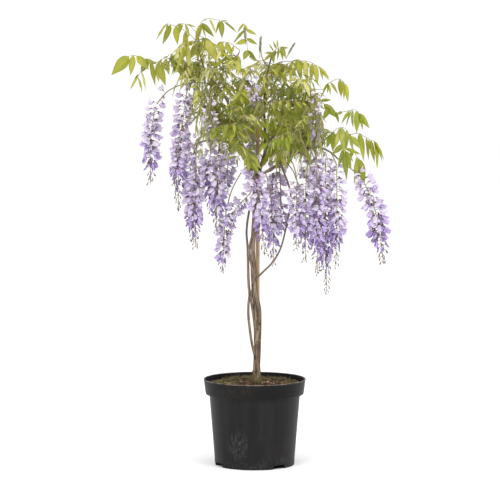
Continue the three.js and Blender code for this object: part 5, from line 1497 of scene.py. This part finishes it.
class Room:
    """The balls that the pieces fill, each with its owner: a shoot's number, or 0 for the rest."""

    def __init__(self):
        self.points, self.radii, self.owners = [], [], []

    def take(self, owner, points, radii):
        self.points.append(points)
        self.radii.append(np.broadcast_to(radii, len(points)))
        self.owners += [owner] * len(points)

    def take_path(self, owner, path, radii):
        for a, b, start, end in zip(path, path[1:], radii, radii[1:]):
            steps = math.ceil(np.linalg.norm(b - a) / BEAD)
            share = np.arange(1, steps + 1) / steps
            self.take(owner, mix(a, b, share[:, None]), mix(start, end, share))

    def clear(self, owner, points):
        others = np.array(self.owners) != owner
        balls, radii = np.concatenate(self.points)[others], np.concatenate(self.radii)[others]
        away = np.linalg.norm(points[:, None] - balls, axis=-1)
        return bool((away > radii + CLEAR).all())


def inside_crown(points):
    """Whether all the points lie in the crown and none hangs too low."""
    away = (points - CROWN_CENTRE) / CROWN_HALF
    return bool(((away**4).sum(1) < 1).all() and (points[:, 2] > CROWN_LOWEST).all())


def ruled_leaves(path, count, owner, room, draw):
    """More leaves by rule: each turns on by the golden angle, and further where it would meet something."""
    leaves = []
    heading = draw(0, 360)
    for i in range(count):
        base = point_at(path, mix(0.45, 1, (i + 1) / count))
        reach, lift, rise = draw(96, 126), draw(6, 30), draw(9, 18)
        length, hang = draw(48, 58), draw(0.66, 0.95)
        for attempt in range(ATTEMPTS):
            angle = math.radians(heading + attempt * RETRY_TURN)
            shorter = mix(1, 0.66, attempt / ATTEMPTS)
            tip = base + np.array([math.cos(angle), math.sin(angle), 0]) * reach * shorter
            tip[2] += lift * (attempt % 4) - 8
            leaf = Leaf(Rib(base, tip, rise), length * shorter, 2, hang)
            points = solid_leaf_points(leaf)
            if inside_crown(points) and room.clear(owner, points):
                leaves.append(leaf)
                room.take(owner, points, 0)
                break
        heading += GOLDEN
    return leaves


def grown_shoots():
    """Each shoot's path and leaves, where the solids have them."""
    room = Room()
    for listed in STEMS.values():
        room.take_path(0, np.array(listed, float)[:, :3], [p[3] for p in listed])
    ends = np.array([[CANE_X, CANE_Y, 60], [CANE_X, CANE_Y, CANE_TOP]], float)
    room.take_path(0, ends, [CANE_RADIUS] * 2)
    for raceme in RACEMES:
        path, run, bare = raceme_line(raceme, 6)
        shares = (run - bare) / (run[-1] - bare)
        room.take_path(0, path, np.where(shares < 0, PEDUNCLE, raceme[-1] * spread(shares)))
    draw = Draw(SEED)
    paths, grown = [], []
    for (stem, index), points, listed, _ in SHOOTS:
        path = smooth([STEMS[stem][index][:3]] + points, 2 if len(points) < 3 else 1)
        paths.append(path)
        grown.append([
            Leaf(Rib(point_at(path, share), tip, rise), length, pairs, draw(0.8, 0.98))
            for share, tip, rise, length, pairs in listed
        ])
    for number, (path, leaves) in enumerate(zip(paths, grown), 1):
        room.take_path(number, path, [SHOOT_BASE] * len(path))
        for leaf in leaves:
            room.take(number, solid_leaf_points(leaf), 0)
    for number, (path, leaves, shoot) in enumerate(zip(paths, grown, SHOOTS), 1):
        leaves += ruled_leaves(path, shoot[-1], number, room, draw)
    return zip(paths, grown)


def add_leaf(piece, random, leaf, finish, width, scale=1):
    """One feathered leaf: its rib and its leaflets, in more and smaller pairs than the solid has."""
    rib, length, pairs = leaf.rib, leaf.length * scale, leaf.pairs + MORE_PAIRS
    piece.tube(rib.point(np.linspace(0, 1, 10)), np.linspace(0.85, 0.4, 10), 5, STALK)
    tone = random.uniform(0.05, 1)
    spots = []
    for share in np.arange(pairs) / (pairs - 1):
        u = mix(PETIOLE - 0.06, 0.94, share)
        size = length * mix(0.74, 1, math.sin(math.pi * (0.15 + share * 0.7)))
        spots += [(u + random.normal(0, 0.015), hand, size * random.uniform(0.62, 1.2)) for hand in (1, -1)]
    spots.append((1.0, 0, length * random.uniform(1, 1.25)))
    rows = []
    for u, hand, size in spots:
        station = rib.station(u)
        direction, across = leaflet_lie(station, hand, min(leaf.hang + random.normal(0, 0.1), 1))
        direction = unit(direction + random.normal(0, 0.3, 3))
        rows.append((station[0], direction, loosely(random, across, 0.6, direction), size))
    add_leaflets(piece, random, rows, width, 0.14, tone, finish)


def loosely(random, across, amount, direction):
    """The way across a blade, turned a little at random but still square to the blade's direction."""
    across = unit(across + random.normal(0, amount, 3))
    return unit(across - direction * across.dot(direction))


def on_sheet(column, row, back):
    """A point of the ruled sheet, so far back from the stem's plane."""
    return np.array([(column - STEM_COLUMN) * SQUARE, back, TOP_HEIGHT - (row - TOP_ROW) * SQUARE])


def add_drawn_leaf(piece, random, start, end, corners, leaflets):
    """A leaf drawn on the sheet. A blade drawn narrower than it grows is turned edge-on by so much."""
    backs = np.linspace(start, end, len(corners))
    rib = smooth([on_sheet(*corner, back) for corner, back in zip(corners, backs)], 5)
    piece.tube(rib, np.linspace(0.95, 0.45, len(rib)), 6, STALK)
    rows, widths = [], []
    for root_column, root_row, tip_column, tip_row, drawn in leaflets:
        root = on_sheet(root_column, root_row, 0)
        near = rib[np.argmin(np.linalg.norm((rib - root)[:, [0, 2]], axis=1))]
        way = on_sheet(tip_column, tip_row, 0) - near * [1, 0, 1]
        way[1] = random.uniform(-0.28, 0.28) * np.linalg.norm(way)
        size = np.linalg.norm(way)
        direction = way / size
        drawn *= DRAWN_WIDTH
        wide = max(drawn * SQUARE, 0.26 * size)
        flat = unit(np.cross(direction, [0, 1, 0]))
        lean = math.acos(drawn * SQUARE / wide) * random.choice([-1, 1])
        across = flat * math.cos(lean) + np.cross(direction, flat) * math.sin(lean)
        rows.append((near, direction, across, size))
        widths.append([wide / size])
    add_leaflets(piece, random, rows, np.array(widths), 0.02, random.uniform(0.26, 0.6), LEAF)


def add_furled_tip(piece, random, foot, tip):
    """A shoot's tip whose young leaflets still lie folded along it."""
    rib = smooth([foot, mix(foot, tip, 0.5) + [0.6, 0, 0], tip], 4)
    piece.tube(rib, np.linspace(1.1, 0.4, len(rib)), 6, STALK)
    run, along = np.linalg.norm(tip - foot), unit(tip - foot)
    rows = []
    for share in np.arange(0.24, 0.84, 0.011):
        turn = random.uniform(0, 2 * math.pi)
        out = np.array([math.cos(turn), math.sin(turn), 0])
        direction = unit(along + out * random.uniform(0.1, 0.3))
        across = unit(np.cross(direction, out))
        rows.append((mix(foot, tip, share) + out * 0.8, direction, across, run * random.uniform(0.18, 0.32)))
    add_leaflets(piece, random, rows, 0.3, -0.02, 0.7, SILKY_LEAF)


def add_hanging_leaf(piece, random, top, foot):
    """A limp young leaf: narrow folded leaflets that hang along a thin rib."""
    bow = np.array([random.uniform(-6, 6), random.uniform(-12, 2), 0])
    rib = smooth([top, mix(top, foot, 0.3) + bow, mix(top, foot, 0.65) + bow * 0.6, foot], 6)
    piece.tube(rib, np.linspace(0.8, 0.35, len(rib)), 5, STALK)
    rows = []
    for share in np.arange(0.22, 1, 0.085):
        for side in (0, math.pi):
            root = point_at(rib, min(share + random.normal(0, 0.015), 1))
            turn = random.uniform(-0.9, 0.9) + side
            out = np.array([math.cos(turn), math.sin(turn), 0])
            direction = unit(out * random.uniform(0.18, 0.55) - UP)
            across = loosely(random, np.cross(direction, out), 0.4, direction)
            rows.append((root, direction, across, random.uniform(22, 36)))
    add_leaflets(piece, random, rows, 0.17, 0.04, random.uniform(0.1, 0.9), YOUNG_LEAF)


def add_leaflets(piece, random, listed, width, droop, tone, finish):
    """Pointed blades, folded a little along the midrib, wavy at the edge and drooping to the tip. Each is
    listed by its root, its direction, the way across it and its length."""
    roots, ways, acrosses, sizes = map(np.array, zip(*listed))
    many = len(sizes)
    rows, columns = (10 if sizes.max() > 40 else 8), 5
    normals = np.cross(acrosses, ways)
    over = np.where(normals[:, 2:] < 0, -1, 1)
    normals, acrosses = normals * over, acrosses * over
    along, across = grid_marks(rows, columns)
    outline = np.maximum(np.sin(math.pi * along**0.78) ** 0.85 * (1 - 0.35 * along**3), 0.025)
    size = sizes[:, None]
    half = size * width / 2 * outline * random.uniform(0.9, 1.12, (many, 1))
    fold = np.radians(random.uniform(10, 34, (many, 1)))
    phase = random.uniform(0, 2 * math.pi, (many, 1))
    wave = 0.1 * np.sin(along * 15 + phase + across * 1.5) * np.abs(across)
    lift = half * (np.abs(across) * np.sin(fold) + wave)
    curl = size * droop * random.uniform(0.6, 1.5, (many, 1)) * along**2
    sway = size * random.normal(0, 0.035, (many, 1)) * along**2
    points = roots[:, None] + ways[:, None] * (size * along)[..., None]
    points = points + acrosses[:, None] * (half * across * np.cos(fold) + sway)[..., None]
    points = points + normals[:, None] * lift[..., None] - UP * curl[..., None]
    grain = np.empty(points.shape)
    grain[..., 0], grain[..., 1] = across, along
    grain[..., 2] = np.clip(tone + random.normal(0, 0.19, (many, 1)), 0, 1)
    piece.add(points, grid_faces(rows, columns), grain, finish)


def own(listed, number):
    """The rows of a list that belong to one shoot, without its number."""
    return [row[1:] for row in listed if row[0] == number]


def make_shoot(number, path, leaves):
    """A leafy shoot: its stalk, the leaves drawn on the sheet or else the solid's, and more between them."""
    random = np.random.RandomState(SHOOT_SEED + number)
    piece = Piece(f"leaf_spray_{number:02d}")
    line = smooth(path, 4)
    piece.tube(line, np.linspace(2.1, 0.9, len(line)), 8, STALK)
    drawn = own(DRAWN, number)
    for leaf in drawn:
        add_drawn_leaf(piece, random, *leaf)
    for foot, tip, back in own(FURLED, number):
        add_furled_tip(piece, random, on_sheet(*foot, back), on_sheet(*tip, back))
    for top, foot, start, end in own(HANGING, number):
        add_hanging_leaf(piece, random, on_sheet(*top, start), on_sheet(*foot, end))
    for leaf in [] if drawn else leaves:
        add_leaf(piece, random, leaf, LEAF, 0.34, 0.74)
    for leaf in filling_leaves(path, random):
        add_leaf(piece, random, leaf, LEAF if random.uniform(0, 1) < 0.62 else YOUNG_LEAF, 0.27)
    piece.made("leaf", f"leafy_shoot_{number:02d}")


def filling_leaves(path, random):
    """More leaves between those of the solid, inside the rounded spaces and clear of the cane's front."""
    leaves = []
    for _ in range(FILLING_TRIES):
        base = point_at(path, random.uniform(0, 1))
        angle, reach = random.uniform(0, 2 * math.pi), random.uniform(50, 120)
        tip = base + [math.cos(angle) * reach, math.sin(angle) * reach, random.uniform(-120, 20)]
        rib = Rib(base, tip, random.uniform(6, 26))
        leaf = Leaf(rib, random.uniform(22, 38), 2, random.uniform(0.4, 1))
        points = solid_leaf_points(leaf)
        x, y, z = points.T
        bare = (abs(x - CANE_X) < KEPT_OPEN[0]) & (y < CANE_Y) & (z < CANE_TOP + KEPT_OPEN[1])
        inside = any(((((points - middle) / half) ** 2).sum(1) < 1).all() for middle, half in FILLED)
        if inside and not bare.any():
            leaves.append(leaf)
        if len(leaves) == FILLING:
            break
    return leaves


# ---- the whole plant -------------------------------------------------------------------------------

make_pot()
make_soil()
make_cane()
make_stems()
for number, raceme in enumerate(RACEMES, 1):
    make_raceme(number, raceme)
for number, (path, leaves) in enumerate(grown_shoots(), 1):
    make_shoot(number, path, leaves)

# ---- studio ----------------------------------------------------------------------------------------


def aim(thing, target):
    """Turns a lamp or the camera to look at a point."""
    way = Vector(target) - Vector(thing.location)
    thing.rotation_euler = way.to_track_quat("-Z", "Y").to_euler()


def make_studio():
    """A white floor and sky, three softboxes and the camera."""
    floor, reach = bpy.data.meshes.new("studio_floor"), 20
    corners = [(-reach, -reach, 0), (reach, -reach, 0), (reach, reach, 0), (-reach, reach, 0)]
    floor.from_pydata(corners, [], [(0, 1, 2, 3)])
    white = Finish("studio_white")
    soft = white.noise(white.place(), 3, 2)
    colour = white.blend(soft, paint(254, 254, 254), paint(255, 255, 255))
    values = {"Base Color": colour, "Roughness": 1, "Specular IOR Level": 0}
    floor.materials.append(white.solid(values).material)
    ground = bpy.data.objects.new("studio_floor", floor)
    bpy.context.scene.collection.objects.link(ground)
    world = bpy.data.worlds.new("studio")
    world.use_nodes = True
    world.node_tree.nodes["Background"].inputs["Color"].default_value = (1, 1, 1, 1)
    world.node_tree.nodes["Background"].inputs["Strength"].default_value = 1.03
    bpy.context.scene.world = world
    for name, place, size, power in SOFTBOXES:
        light = bpy.data.lights.new(name, "AREA")
        light.shape, light.size, light.energy = "SQUARE", size, power
        lamp = bpy.data.objects.new(name, light)
        lamp.location = place
        aim(lamp, (0, 0, 0.75))
        bpy.context.scene.collection.objects.link(lamp)
    bpy.context.scene.view_settings.view_transform = "Standard"
    lens = bpy.data.cameras.new("camera")
    lens.lens, lens.sensor_width, lens.clip_end = LENS, 36, 60
    camera = bpy.data.objects.new("camera", lens)
    camera.location = CAMERA
    aim(camera, LOOKED_AT)
    bpy.context.scene.collection.objects.link(camera)
    bpy.context.scene.camera = camera


make_studio()
